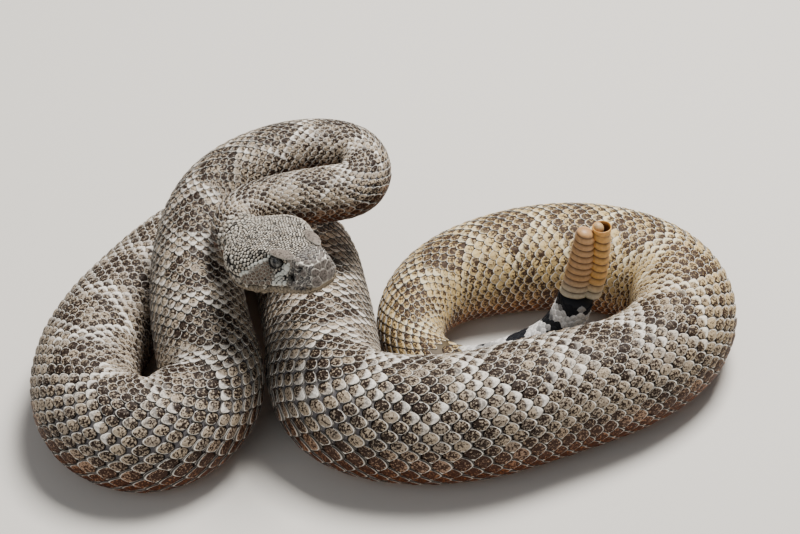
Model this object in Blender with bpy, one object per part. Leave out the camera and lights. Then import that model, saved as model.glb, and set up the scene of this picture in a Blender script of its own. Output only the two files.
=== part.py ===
"""Western diamondback rattlesnake, life size: coiled on the floor, the neck drawn back in an S
over the coils, the head level above them and the rattle raised.

The body is one tube that follows a smooth route through the points of ROUTE, parted into short
lengths by thin cuts. Sizes are in millimetres until a mesh is made, +Z is up, the floor is z = 0.
"""

import math

import bmesh
import bpy
import numpy as np

MM = 0.001
CUT = 0.3  # gap between two pieces that meet
FLOOR_SHIFT = (4.8, 41.6)  # brings the middle of the coiled body over the origin

# Route of the body's centre line from inside the skull to inside the rattle:
# name, x, y, height above the floor, half the body's width there
ROUTE = [
    ("skull", -58.7, -54.1, 82.1, 11.4),
    ("nape", -64.5, -47.4, 77.5, 11.4),
    ("neck back", -69.8, -39, 76.3, 11.0),
    ("neck bend", -67, -28, 76.8, 10.8),
    ("neck out", -56, -20.6, 77, 11.1),
    ("neck mid", -42, -16, 76, 11.9),
    ("neck far", -30, -12, 74.7, 12.3),
    ("loop low", -19.8, -7.4, 74.4, 12.1),
    ("loop end", -15.6, 2.9, 75, 12.0),
    ("loop top", -19.8, 13.1, 76, 12.2),
    ("loop far", -30, 17.3, 76.4, 12.6),
    ("loop back", -46, 16, 76, 13.5),
    ("shoulder", -64, 9, 73, 15.1),
    ("shoulder fall", -80.5, -2.5, 65.6, 16.9),
    ("limb top", -87.8, -18.8, 57.2, 18.3),
    ("limb mid", -88.5, -40, 48, 20.0),
    ("limb low", -84.5, -63, 38, 21.6),
    ("limb foot", -82, -85, 27.5, 23.2),
    ("ring front", -102, -104.5, 22.5, 24.0),
    ("ring left front", -126, -97.5, 22.5, 24.0),
    ("ring left", -135, -73, 22.5, 23.6),
    ("ring left back", -129.5, -42, 22, 22.8),
    ("ring far left", -114.4, -12.5, 21.6, 21.9),
    ("ring back", -97, 10.6, 21.2, 22.2),
    ("ring back right", -73, 22.5, 22, 23.3),
    ("ring right", -50, 10.5, 23, 24.2),
    ("middle top", -39.5, -19, 23.5, 24.6),
    ("middle", -34.5, -51.5, 24, 24.9),
    ("turn", -24, -89, 25, 26.0),
    ("front left", 6, -99.5, 25, 26.4),
    ("front mid", 37, -95.5, 25, 26.3),
    ("front right", 69, -83, 24.3, 25.4),
    ("right front", 100, -68, 23, 24.0),
    ("right end", 124, -39, 22.6, 23.8),
    ("right back", 119, -11, 22.4, 23.8),
    ("back right", 93, 4, 22.5, 24.0),
    ("back mid", 66, 6, 22, 23.5),
    ("back left", 37, 0, 20.5, 21.8),
    ("left end", 15.5, -12, 18, 19.0),
    ("left turn", 5.5, -31, 15.3, 16.0),
    ("under", 9, -48.5, 13, 13.6),
    ("tail root", 22.5, -57.5, 11.5, 12.0),
    ("tail lie", 38, -56, 11.2, 10.9),
    ("tail rise", 54, -49.5, 13.8, 9.7),
    ("tail lift", 67.5, -46, 22, 8.9),
    ("tail tip", 74.5, -43.8, 34.5, 8.3),
    ("rattle base", 76.7, -43.2, 43.5, 8.0),
    ("rattle", 78.8, -43, 55, 8.0),
]

# Lengths of the body: node name, the route points where it starts and ends
LENGTHS = [
    ("neck_1", "nape", "neck bend"),
    ("neck_2", "neck bend", "neck mid"),
    ("neck_3", "neck mid", "loop low"),
    ("neck_4", "loop low", "loop top"),
    ("neck_5", "loop top", "loop back"),
    ("torso_01", "loop back", "shoulder fall"),
    ("torso_02", "shoulder fall", "limb mid"),
    ("torso_03", "limb mid", "limb foot"),
    ("torso_04", "limb foot", "ring front"),
    ("torso_05", "ring front", "ring left front"),
    ("torso_06", "ring left front", "ring left back"),
    ("torso_07", "ring left back", "ring back"),
    ("torso_08", "ring back", "ring back right"),
    ("torso_09", "ring back right", "ring right"),
    ("torso_10", "ring right", "middle"),
    ("torso_11", "middle", "front left"),
    ("torso_12", "front left", "front right"),
    ("torso_13", "front right", "right end"),
    ("torso_14", "right end", "right back"),
    ("torso_15", "right back", "back mid"),
    ("torso_16", "back mid", "left end"),
    ("torso_17", "left end", "under"),
    ("tail_1", "under", "tail lie"),
    ("tail_2", "tail lie", "rattle base"),
]

# Body section, as shares of half the width
BACK_HEIGHT = 0.97
BELLY_DEPTH = 1.01
BACK_POWER = 2.0
BELLY_POWER = 2.5  # fuller at the belly's edges than an ellipse
SECTION_SIDES = 20
INNER_LIMIT = 0.82  # on the inside of a bend the flesh stays within this share of the bend radius

# Belly scutes: steps across the underside, free edge towards the tail
SCUTE_PITCH = 10.0
SCUTE_RISE = 0.6
SCUTE_SLOPE_SHARE = 0.84
SCUTE_EDGE_ANGLE = 108.0  # degrees from the mid back

# Head, measured from the nape: forward, left and up
HEAD_LENGTH = 52.0
MOUTH_CORNER = 11.0
MOUTH_GAP = 0.3

# Head stations: distance forward, half width at the lip, crown height, half width and height of
# the brow edge, swell of the cheek, chin depth, height of the mouth line
HEAD_STATIONS = [
    (0.0, 11.6, 10.6, 8.2, 7.6, 0.9, -10.8, 0.0),
    (4.0, 14.8, 10.8, 10.4, 8.2, 1.5, -11.2, -1.0),
    (9.0, 18.3, 11.0, 12.6, 8.9, 2.3, -11.6, -2.6),
    (15.0, 19.9, 11.3, 14.6, 9.3, 2.6, -11.9, -4.6),
    (21.0, 19.2, 11.4, 14.1, 9.5, 2.2, -12.0, -5.4),
    (28.0, 16.7, 11.0, 12.2, 9.4, 1.0, -11.6, -5.3),
    (35.0, 13.5, 9.9, 9.7, 8.7, -0.2, -10.9, -4.8),
    (41.0, 11.4, 8.9, 8.1, 7.9, -0.7, -9.9, -4.4),
    (46.0, 10.0, 7.9, 7.0, 6.9, -0.4, -9.0, -4.1),
    (50.0, 8.2, 6.8, 5.7, 5.7, 0.1, -7.8, -3.9),
    (52.0, 5.8, 5.4, 4.0, 4.3, 0.2, -6.2, -3.8),
]
HEAD_STEP = 2.0
LIP_BULGE = 0.7
LOWER_LIP_INSET = 0.8

BROW_CENTRE = (37.2, 8.3, 8.9)
BROW_SIZE = (5.5, 3.3, 1.2)
BROW_TILT = 12.0
EYE_CENTRE = (36.2, 9.3, 5.4)
EYE_RADIUS = 2.8
NOSTRIL_CENTRE = (47.6, 7.9, 4.2)
NOSTRIL_SIZE = (1.1, 1.3, 0.8)
PIT_CENTRE = (43.6, 10.4, 0.4)
PIT_SIZE = (1.5, 2.0, 1.2)

# Rattle: interlocking horny segments with two lobes, the newest at the base
RATTLE_SEGMENTS = 10
RATTLE_PITCH = 3.6
RATTLE_HALF_WIDTH = 8.5
RATTLE_HALF_THICKNESS = 4.4
RATTLE_SIDES = 28
RATTLE_GROOVE = 0.42
RATTLE_OPEN_DEPTH = 2.2
RATTLE_LEAN = 2.4  # how far one column stands above the other at the open end, each way

SNAKE_GREY = (0.33, 0.29, 0.25)
SNAKE_TAN = (0.45, 0.38, 0.29)
TAIL_GREY = (0.42, 0.41, 0.40)
HORN_AMBER = (0.62, 0.42, 0.22)
EYE_DARK = (0.03, 0.025, 0.02)
HEAD_ROUGHNESS = 0.55
HORN_ROUGHNESS = 0.45
EYE_ROUGHNESS = 0.1


def clear_scene():
    """Starts from an empty scene."""
    for obj in list(bpy.data.objects):
        bpy.data.objects.remove(obj, do_unlink=True)


def unit(vector):
    vector = np.asarray(vector, float)
    return vector / np.linalg.norm(vector)


def natural_spline(knots, values, places):
    """Natural cubic through values at the knots, read at the given places."""
    knots = np.asarray(knots, float)
    values = np.asarray(values, float).reshape(len(knots), -1)
    count = len(knots)
    span = np.diff(knots)
    matrix = np.eye(count)
    right = np.zeros_like(values)
    for i in range(1, count - 1):
        matrix[i, i - 1 : i + 2] = span[i - 1], 2 * (span[i - 1] + span[i]), span[i]
        rise = (values[i + 1] - values[i]) / span[i]
        run_in = (values[i] - values[i - 1]) / span[i - 1]
        right[i] = 6 * (rise - run_in)
    second = np.linalg.solve(matrix, right)
    found = []
    for place in places:
        i = int(np.clip(np.searchsorted(knots, place, side="right") - 1, 0, count - 2))
        after = place - knots[i]
        before = knots[i + 1] - place
        cubic = (second[i] * before**3 + second[i + 1] * after**3) / (6 * span[i])
        start = (values[i] / span[i] - second[i] * span[i] / 6) * before
        end = (values[i + 1] / span[i] - second[i + 1] * span[i] / 6) * after
        found.append(cubic + start + end)
    return np.array(found)


class Route:
    """The body's centre line by distance along it: place, direction, half width and bend."""

    FINE = 24  # samples between two route points
    CHORD_POWER = 0.8

    def __init__(self):
        points = np.array([row[1:] for row in ROUTE], float)
        points[:, :2] += FLOOR_SHIFT
        chords = np.linalg.norm(np.diff(points[:, :3], axis=0), axis=1) ** self.CHORD_POWER
        knots = np.concatenate([[0], np.cumsum(chords)])
        places = np.concatenate(
            [np.linspace(knots[i], knots[i + 1], self.FINE, endpoint=False) for i in range(len(chords))]
            + [knots[-1:]]
        )
        line = natural_spline(knots, points, places)
        self.xyz = line[:, :3]
        self.width = line[:, 3]
        steps = np.linalg.norm(np.diff(self.xyz, axis=0), axis=1)
        self.distance = np.concatenate([[0], np.cumsum(steps)])
        self.tangent = np.gradient(self.xyz, self.distance, axis=0)
        self.tangent /= np.linalg.norm(self.tangent, axis=1)[:, None]
        self.bend = np.gradient(self.tangent, self.distance, axis=0)
        self.named = {row[0]: self.distance[i * self.FINE] for i, row in enumerate(ROUTE)}

    def read(self, table, distance):
        return np.array([np.interp(distance, self.distance, column) for column in table.T])

    def frame(self, distance):
        """Centre, direction towards the tail, left, up, half width and bend there."""
        centre = self.read(self.xyz, distance)
        along = unit(self.read(self.tangent, distance))
        left = unit(np.cross(along, (0, 0, 1)))
        up = np.cross(left, along)
        width = float(np.interp(distance, self.distance, self.width))
        return centre, along, left, up, width, self.read(self.bend, distance)


def signed_power(value, power):
    return math.copysign(abs(value) ** power, value)


def hold_inside(offset, bend):
    """Draws a point in where it would reach past the middle of a tight bend."""
    strength = np.linalg.norm(bend)
    inward = bend / strength
    reach = float(offset @ inward)
    limit = INNER_LIMIT / strength
    soft = 0.7 * limit
    if reach <= soft:
        return offset
    room = limit - soft
    kept = soft + room * (1 - math.exp(-(reach - soft) / room))
    return offset + (kept - reach) * inward


def body_ring(route, distance, shift=0.0, scute=0.0, sides=SECTION_SIDES):
    """One ring of the body's skin, moved along the body by shift."""
    centre, along, left, up, width, bend = route.frame(distance)
    ring = []
    for k in range(sides):
        angle = 2 * math.pi * k / sides
        belly = math.cos(angle) < 0
        power = 2 / (BELLY_POWER if belly else BACK_POWER)
        height = BELLY_DEPTH if belly else BACK_HEIGHT
        across = signed_power(math.sin(angle), power) * width
        rise = signed_power(math.cos(angle), power) * width * height
        if math.degrees(math.acos(math.cos(angle))) > SCUTE_EDGE_ANGLE:
            rise -= scute
        offset = hold_inside(left * across + up * rise, bend)
        point = centre + offset + along * shift
        point[2] = max(point[2], 0.0)
        ring.append(point)
    return ring


def mesh_object(name, verts, faces, colour, roughness=0.6):
    """A closed mesh in metres, from points in millimetres, with its own material."""
    mesh = bpy.data.meshes.new(name)
    mesh.from_pydata([tuple(float(c) * MM for c in point) for point in verts], [], faces)
    work = bmesh.new()
    work.from_mesh(mesh)
    bmesh.ops.remove_doubles(work, verts=work.verts, dist=1e-6)
    bmesh.ops.recalc_face_normals(work, faces=work.faces)
    work.to_mesh(mesh)
    work.free()
    obj = bpy.data.objects.new(name, mesh)
    bpy.context.scene.collection.objects.link(obj)
    mesh.materials.append(plain_material(name, colour, roughness))
    return obj


def plain_material(name, colour, roughness):
    material = bpy.data.materials.new(name)
    material.use_nodes = True
    shader = material.node_tree.nodes["Principled BSDF"]
    shader.inputs["Base Color"].default_value = (*colour, 1)
    shader.inputs["Roughness"].default_value = roughness
    return material


def loft(rings):
    """Points and faces of a tube through rings of equal count, closed with a fan at each end."""
    sides = len(rings[0])
    verts = [point for ring in rings for point in ring]
    faces = []
    for i in range(len(rings) - 1):
        for k in range(sides):
            after = (k + 1) % sides
            low = i * sides
            high = low + sides
            faces.append((low + k, low + after, high + after, high + k))
    for start, ring in ((0, rings[0]), (len(verts) - sides, rings[-1])):
        middle = len(verts)
        verts.append(np.mean(ring, axis=0))
        for k in range(sides):
            faces.append((start + k, start + (k + 1) % sides, middle))
    return verts, faces


def smooth(obj, sharp_degrees=38):
    obj.data.shade_smooth()
    obj.data.set_sharp_from_angle(angle=math.radians(sharp_degrees))


def make_length(route, name, start, end):
    """A length of the body between two route points, with scute steps on its underside."""
    first = route.named[start]
    last = route.named[end]
    count = max(2, round((last - first) / SCUTE_PITCH))
    pitch = (last - first) / count
    rings = [body_ring(route, first, shift=CUT / 2)]
    for i in range(count):
        edge = first + (i + SCUTE_SLOPE_SHARE) * pitch
        rings.append(body_ring(route, edge, scute=SCUTE_RISE))
        if i < count - 1:
            rings.append(body_ring(route, first + (i + 1) * pitch))
    rings.append(body_ring(route, last, shift=-CUT / 2))
    share = first / route.distance[-1]
    colour = TAIL_GREY if name.startswith("tail") else [
        a + (b - a) * share for a, b in zip(SNAKE_GREY, SNAKE_TAN)
    ]
    smooth(mesh_object(name, *loft(rings), colour))


class HeadFrame:
    """Places points given forward, left and up of the nape."""

    def __init__(self, route):
        self.origin, towards_tail = route.frame(route.named["nape"])[:2]
        self.forward = -towards_tail
        self.left = unit(np.cross((0, 0, 1), self.forward))
        self.up = np.cross(self.forward, self.left)

    def place(self, point):
        return self.origin + self.forward * point[0] + self.left * point[1] + self.up * point[2]

    def place_all(self, points):
        return [self.place(point) for point in points]


def head_values(forward):
    table = np.array(HEAD_STATIONS)
    return natural_spline(table[:, 0], table[:, 1:], [forward])[0]


def head_half_section(forward):
    """Half of the head's outline at one station, from mid crown to mid chin: (left, up) pairs."""
    lip, crown, brow, brow_z, swell, chin, mouth = head_values(forward)
    points = []
    for share in (0.0, 0.28, 0.56, 0.82, 1.0):
        dome = (crown - brow_z) * share**2.4
        points.append((brow * share, crown - dome))
    lip_z = mouth + 2.0
    lean = unit((brow_z - lip_z, lip - brow))
    for share in (0.2, 0.4, 0.6, 0.8):
        bulge = swell * math.sin(math.pi * share)
        left = brow + (lip - brow) * share + lean[0] * bulge
        rise = brow_z + (lip_z - brow_z) * share + lean[1] * bulge
        points.append((left, rise))
    gap = MOUTH_GAP / 2 + 0.05
    points.append((lip, lip_z))
    points.append((lip - LIP_BULGE * 0.4, mouth + 0.9))
    points.append((lip - LIP_BULGE, mouth + gap))
    points.append((lip - LIP_BULGE - 0.2, mouth - gap))
    points.append((lip - LOWER_LIP_INSET, mouth - 1.1))
    depth = mouth - 1.1 - chin
    for angle in (18, 36, 54, 72, 90):
        turn = math.radians(angle)
        left = (lip - LOWER_LIP_INSET) * math.cos(turn) ** 0.75
        rise = mouth - 1.1 - depth * math.sin(turn) ** 0.9
        points.append((left if angle < 90 else 0.0, rise))
    return points


def head_ring(head, forward):
    half = head_half_section(forward)
    ring = [(forward, left, up) for left, up in half]
    ring += [(forward, -left, up) for left, up in reversed(half[1:-1])]
    return head.place_all(ring)


def ellipsoid(name, head, centre, size, turn=0.0, segments=16, rings=10, colour=SNAKE_GREY, roughness=0.6):
    """A closed ellipsoid in the head's frame, tilted about the forward axis by turn degrees."""
    verts = []
    faces = []
    cos_turn = math.cos(math.radians(turn))
    sin_turn = math.sin(math.radians(turn))

    def put(x, y, z):
        y, z = y * cos_turn - z * sin_turn, y * sin_turn + z * cos_turn
        verts.append(head.place((centre[0] + x, centre[1] + y, centre[2] + z)))

    put(0, 0, size[2])
    for i in range(1, rings):
        polar = math.pi * i / rings
        for k in range(segments):
            around = 2 * math.pi * k / segments
            ring = math.sin(polar)
            forward = size[0] * ring * math.cos(around)
            put(forward, size[1] * ring * math.sin(around), size[2] * math.cos(polar))
    put(0, 0, -size[2])
    for k in range(segments):
        after = (k + 1) % segments
        faces.append((0, 1 + k, 1 + after))
        for i in range(rings - 2):
            low = 1 + i * segments
            high = low + segments
            faces.append((low + k, high + k, high + after, low + after))
        last = 1 + (rings - 2) * segments
        faces.append((last + k, len(verts) - 1, last + after))
    return mesh_object(name, verts, faces, colour, roughness)


def combine(obj, tool, operation, solver="EXACT"):
    """Applies one Boolean and removes the tool."""
    modifier = obj.modifiers.new(operation, "BOOLEAN")
    modifier.operation = operation
    modifier.object = tool
    modifier.solver = solver
    bpy.context.view_layer.objects.active = obj
    bpy.context.view_layer.update()
    bpy.ops.object.select_all(action="DESELECT")
    obj.select_set(True)
    bpy.ops.object.modifier_apply(modifier=modifier.name)
    bpy.data.objects.remove(tool, do_unlink=True)


def mouth_block(head, name, gap, reach=30.0):
    """A block that fills everything below the mouth line and in front of its corner."""
    ahead = np.linspace(MOUTH_CORNER + gap, HEAD_LENGTH + 6, 22)
    outline = [(x, head_values(min(x, HEAD_LENGTH))[-1] + MOUTH_GAP / 2 - gap) for x in ahead]
    outline += [(ahead[-1], -reach), (ahead[0], -reach)]
    count = len(outline)
    verts = [head.place((x, side * reach, z)) for side in (1, -1) for x, z in outline]
    faces = [tuple(range(count)), tuple(range(2 * count - 1, count - 1, -1))]
    for k in range(count):
        after = (k + 1) % count
        faces.append((k, k + count, after + count, after))
    return mesh_object(name, verts, faces, SNAKE_GREY)


def keep_largest(obj):
    """Keeps only the largest closed surface of a mesh."""
    work = bmesh.new()
    work.from_mesh(obj.data)
    bmesh.ops.remove_doubles(work, verts=work.verts, dist=1e-6)
    groups = []
    seen = set()
    for face in work.faces:
        if face in seen:
            continue
        group = []
        queue = [face]
        seen.add(face)
        while queue:
            current = queue.pop()
            group.append(current)
            for edge in current.edges:
                for other in edge.link_faces:
                    if other not in seen:
                        seen.add(other)
                        queue.append(other)
        groups.append(group)
    groups.sort(key=lambda group: sum(face.calc_area() for face in group))
    loose = [face for group in groups[:-1] for face in group]
    bmesh.ops.delete(work, geom=loose, context="FACES")
    work.to_mesh(obj.data)
    work.free()


def make_head(route):
    """Head and lower jaw, made whole and parted along the mouth, and the two eyes."""
    head = HeadFrame(route)
    count = round(HEAD_LENGTH / HEAD_STEP)
    stations = [HEAD_LENGTH * (i / count) for i in range(count + 1)]
    stations[0] = CUT / 2
    rings = [head_ring(head, x) for x in stations]
    whole = mesh_object("head", *loft(rings), SNAKE_GREY, HEAD_ROUGHNESS)
    for side in (1, -1):
        brow = ellipsoid("brow", head, mirror(BROW_CENTRE, side), BROW_SIZE, -side * BROW_TILT)
        combine(whole, brow, "UNION")
    jaw = whole.copy()
    jaw.data = whole.data.copy()
    jaw.name = "lower_jaw"
    jaw.data.name = "lower_jaw"
    bpy.context.scene.collection.objects.link(jaw)
    combine(whole, mouth_block(head, "mouth", 0.0), "DIFFERENCE")
    combine(jaw, mouth_block(head, "mouth", MOUTH_GAP), "INTERSECT")
    for side in (1, -1):
        socket = (EYE_RADIUS + CUT,) * 3
        ball = ellipsoid("socket", head, mirror(EYE_CENTRE, side), socket)
        combine(whole, ball, "DIFFERENCE", "MANIFOLD")
        for centre, size in ((NOSTRIL_CENTRE, NOSTRIL_SIZE), (PIT_CENTRE, PIT_SIZE)):
            hole = ellipsoid("hole", head, mirror(centre, side), size, segments=10, rings=6)
            combine(whole, hole, "DIFFERENCE", "MANIFOLD")
    jaw.data.materials[0] = plain_material("lower_jaw", SNAKE_GREY, HEAD_ROUGHNESS)
    for obj in (whole, jaw):
        keep_largest(obj)
        smooth(obj)
    for name, side in (("eye_left", 1), ("eye_right", -1)):
        size = (EYE_RADIUS,) * 3
        look = {"colour": EYE_DARK, "roughness": EYE_ROUGHNESS}
        smooth(ellipsoid(name, head, mirror(EYE_CENTRE, side), size, **look))


def mirror(point, side):
    return (point[0], point[1] * side, point[2])


def make_rattle(route):
    """The rattle's segments as one closed horny stack with a groove down each broad side."""
    base, along, left, up = route.frame(route.named["rattle base"])[:4]

    def ring(height, scale, lean=0.0):
        points = []
        for k in range(RATTLE_SIDES):
            angle = 2 * math.pi * k / RATTLE_SIDES
            across = math.cos(angle)
            groove = 1 - RATTLE_GROOVE * math.exp(-((across / 0.3) ** 2))
            wide = -up * across * RATTLE_HALF_WIDTH * scale
            thick = left * math.sin(angle) * RATTLE_HALF_THICKNESS * scale * groove
            points.append(base + along * (height + lean * across) + wide + thick)
        return points

    rings = [ring(CUT / 2, 0.86)]
    for i in range(RATTLE_SEGMENTS):
        share = i / (RATTLE_SEGMENTS - 1)
        size = 0.94 + 0.1 * math.sin(math.pi * min(1, share * 1.3)) - 0.08 * share
        lean = RATTLE_LEAN * max(0.0, share - 0.6) / 0.4
        start = i * RATTLE_PITCH
        if i:
            rings.append(ring(start, 0.84 * size, lean))
        rings.append(ring(start + 0.35 * RATTLE_PITCH, size, lean))
        rings.append(ring(start + 0.8 * RATTLE_PITCH, 0.98 * size, lean))
    end = RATTLE_SEGMENTS * RATTLE_PITCH
    rings.append(ring(end, 0.84, RATTLE_LEAN))
    rings.append(ring(end, 0.66, RATTLE_LEAN))
    rings.append(ring(end - RATTLE_OPEN_DEPTH, 0.6, RATTLE_LEAN))
    smooth(mesh_object("rattle", *loft(rings), HORN_AMBER, HORN_ROUGHNESS))


def main():
    clear_scene()
    route = Route()
    for name, start, end in LENGTHS:
        make_length(route, name, start, end)
    make_head(route)
    make_rattle(route)


main()
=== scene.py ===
"""Looks of a life-size western diamondback rattlesnake, coiled with its rattle raised.

One skin follows the body's route from the snout to the rattle. Keeled scales, belly scutes, the
small scales and plates of the head, the eyes and the rattle are built over it. Lengths are in
millimetres until a mesh is made.
"""

import math

import bpy
import numpy as np
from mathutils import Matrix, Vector


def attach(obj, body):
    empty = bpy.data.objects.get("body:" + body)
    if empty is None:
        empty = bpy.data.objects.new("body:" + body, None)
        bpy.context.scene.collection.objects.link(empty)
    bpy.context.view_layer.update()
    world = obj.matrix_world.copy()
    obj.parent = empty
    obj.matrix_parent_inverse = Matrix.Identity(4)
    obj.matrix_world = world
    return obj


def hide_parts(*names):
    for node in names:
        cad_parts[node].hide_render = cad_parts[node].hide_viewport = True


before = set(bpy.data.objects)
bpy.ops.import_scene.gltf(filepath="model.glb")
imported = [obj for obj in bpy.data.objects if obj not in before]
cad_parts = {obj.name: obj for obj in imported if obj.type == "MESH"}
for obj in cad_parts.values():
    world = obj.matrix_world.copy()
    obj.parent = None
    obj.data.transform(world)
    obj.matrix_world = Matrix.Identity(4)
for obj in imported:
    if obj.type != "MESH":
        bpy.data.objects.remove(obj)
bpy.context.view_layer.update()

bl_info = {
    "name": "Diamondback Rattlesnake",
    "version": (1, 0, 0),
    "blender": (4, 5, 0),
    "location": "3D View > Sidebar > Snake",
    "description": "Builds the skin, scales, head plates, eyes and rattle of a coiled rattlesnake",
    "category": "Object",
}

MM = 0.001
FLOOR_SHIFT = (4.8, 41.6)  # brings the middle of the coiled body over the origin

# Route of the body's centre line, as in the solids: x, y, height, half width
ROUTE = {
    "skull": (-58.7, -54.1, 82.1, 11.4),
    "nape": (-64.5, -47.4, 77.5, 11.4),
    "neck back": (-69.8, -39, 76.3, 11.0),
    "neck bend": (-67, -28, 76.8, 10.8),
    "neck out": (-56, -20.6, 77, 11.1),
    "neck mid": (-42, -16, 76, 11.9),
    "neck far": (-30, -12, 74.7, 12.3),
    "loop low": (-19.8, -7.4, 74.4, 12.1),
    "loop end": (-15.6, 2.9, 75, 12.0),
    "loop top": (-19.8, 13.1, 76, 12.2),
    "loop far": (-30, 17.3, 76.4, 12.6),
    "loop back": (-46, 16, 76, 13.5),
    "shoulder": (-64, 9, 73, 15.1),
    "shoulder fall": (-80.5, -2.5, 65.6, 16.9),
    "limb top": (-87.8, -18.8, 57.2, 18.3),
    "limb mid": (-88.5, -40, 48, 20.0),
    "limb low": (-84.5, -63, 38, 21.6),
    "limb foot": (-82, -85, 27.5, 23.2),
    "ring front": (-102, -104.5, 22.5, 24.0),
    "ring left front": (-126, -97.5, 22.5, 24.0),
    "ring left": (-135, -73, 22.5, 23.6),
    "ring left back": (-129.5, -42, 22, 22.8),
    "ring far left": (-114.4, -12.5, 21.6, 21.9),
    "ring back": (-97, 10.6, 21.2, 22.2),
    "ring back right": (-73, 22.5, 22, 23.3),
    "ring right": (-50, 10.5, 23, 24.2),
    "middle top": (-39.5, -19, 23.5, 24.6),
    "middle": (-34.5, -51.5, 24, 24.9),
    "turn": (-24, -89, 25, 26.0),
    "front left": (6, -99.5, 25, 26.4),
    "front mid": (37, -95.5, 25, 26.3),
    "front right": (69, -83, 24.3, 25.4),
    "right front": (100, -68, 23, 24.0),
    "right end": (124, -39, 22.6, 23.8),
    "right back": (119, -11, 22.4, 23.8),
    "back right": (93, 4, 22.5, 24.0),
    "back mid": (66, 6, 22, 23.5),
    "back left": (37, 0, 20.5, 21.8),
    "left end": (15.5, -12, 18, 19.0),
    "left turn": (5.5, -31, 15.3, 16.0),
    "under": (9, -48.5, 13, 13.6),
    "tail root": (22.5, -57.5, 11.5, 12.0),
    "tail lie": (38, -56, 11.2, 10.9),
    "tail rise": (54, -49.5, 13.8, 9.7),
    "tail lift": (67.5, -46, 22, 8.9),
    "tail tip": (74.5, -43.8, 34.5, 8.3),
    "rattle base": (76.7, -43.2, 43.5, 8.0),
    "rattle": (78.8, -43, 55, 8.0),
}
BACK_HEIGHT = 0.97  # height of the back and depth of the belly, for a half width of 1
BELLY_DEPTH = 1.01
BELLY_POWER = 2.5  # a circle has 2; more is flatter below
INNER_LIMIT = 0.82  # how near the inside of a bend comes to the bend's centre

# Head, from the nape: distance forward, half width at the lip, crown height, half width and height
# of the brow edge, swell of the cheek, chin depth, height of the mouth line
HEAD_LENGTH = 52.0
HEAD_STATIONS = np.array([
    (0.0, 11.6, 10.6, 8.2, 7.6, 0.9, -10.8, 0.0),
    (4.0, 14.8, 10.8, 10.4, 8.2, 1.5, -11.2, -1.0),
    (9.0, 18.3, 11.0, 12.6, 8.9, 2.3, -11.6, -2.6),
    (15.0, 19.9, 11.3, 14.6, 9.3, 2.6, -11.9, -4.6),
    (21.0, 19.2, 11.4, 14.1, 9.5, 2.2, -12.0, -5.4),
    (28.0, 16.7, 11.0, 12.2, 9.4, 1.0, -11.6, -5.3),
    (35.0, 13.5, 9.9, 9.7, 8.7, -0.2, -10.9, -4.8),
    (41.0, 11.4, 8.9, 8.1, 7.9, -0.7, -9.9, -4.4),
    (46.0, 10.0, 7.9, 7.0, 6.9, -0.4, -9.0, -4.1),
    (50.0, 8.2, 6.8, 5.7, 5.7, 0.1, -7.8, -3.9),
    (52.0, 5.8, 5.4, 4.0, 4.3, 0.2, -6.2, -3.8),
])
# Where the points of a half section lie between mid crown (0) and mid chin (1)
SECTION_PLACES = np.array([
    0, 0.085, 0.17, 0.25, 0.305, 0.345, 0.385, 0.425, 0.465,
    0.505, 0.525, 0.545, 0.555, 0.575, 0.66, 0.745, 0.83, 0.915, 1.0,
])
SNOUT_CAP = 4.0  # rows that close the snout, before the head's own rows
SNOUT_BULGE = 0.7  # how far the closed snout stands out
MOUTH_CORNER = 11.0  # forward of the nape
BLEND_START = 43.0  # from here the head's section turns into the neck's
BLEND_END = 57.0

EYE_CENTRE = (36.2, 9.3, 5.4)
EYE_RADIUS = 2.9
NOSTRIL_CENTRE = (47.6, 7.9, 4.2)
PIT_CENTRE = (43.4, 10.4, -0.3)
BROW_CENTRE = (38.6, 8.2, 9.2)

# Plates of the side of the snout: forward, height, half length, half width, turn in degrees,
# thickness
SIDE_PLATES = [
    (49.2, 2.6, 1.5, 2.0, 0, 0.5),
    (46.0, 4.6, 1.3, 1.9, 0, 0.5),
    (43.3, 5.2, 1.1, 1.2, 0, 0.4),
    (42.0, 6.7, 1.4, 0.8, 8, 0.4),
    (40.5, 3.5, 2.1, 1.9, 0, 0.45),
    (46.6, 0.6, 1.2, 1.2, 0, 0.4),
]
# Plates of the top of the snout: forward, sideways, half length, half width, turn in degrees
TOP_PLATES = [
    (45.6, 5.6, 2.1, 1.5, -12),
    (49.3, 4.0, 1.7, 1.6, 0),
    (50.4, 1.35, 1.3, 1.3, 0),
    (47.6, 1.2, 1.2, 1.15, 0),
]
# Plates of the snout's face: sideways, height, half height, half width
FRONT_PLATES = [
    (0.0, -0.5, 2.5, 1.9),
    (3.5, 2.1, 2.0, 1.8),
    (3.6, -1.6, 1.9, 1.7),
    (1.5, 4.1, 1.3, 1.5),
]
EYE_SEAT = (35.6, 9.3, 5.7)  # where the eye shows, a little behind its ball's middle
BROW_HALF = (6.8, 2.2, 2.7)  # half length, width outwards and inwards
BROW_TURNS = (13, 10, 7)  # turned in towards the snout, rolled outwards and pitched down in front

# Black rings of the tail: from and to, in millimetres before the rattle
TAIL_RINGS = ((-5.0, 6.0), (14.0, 23.5), (34.0, 43.0), (53.0, 61.0), (70.0, 76.0))
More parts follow.
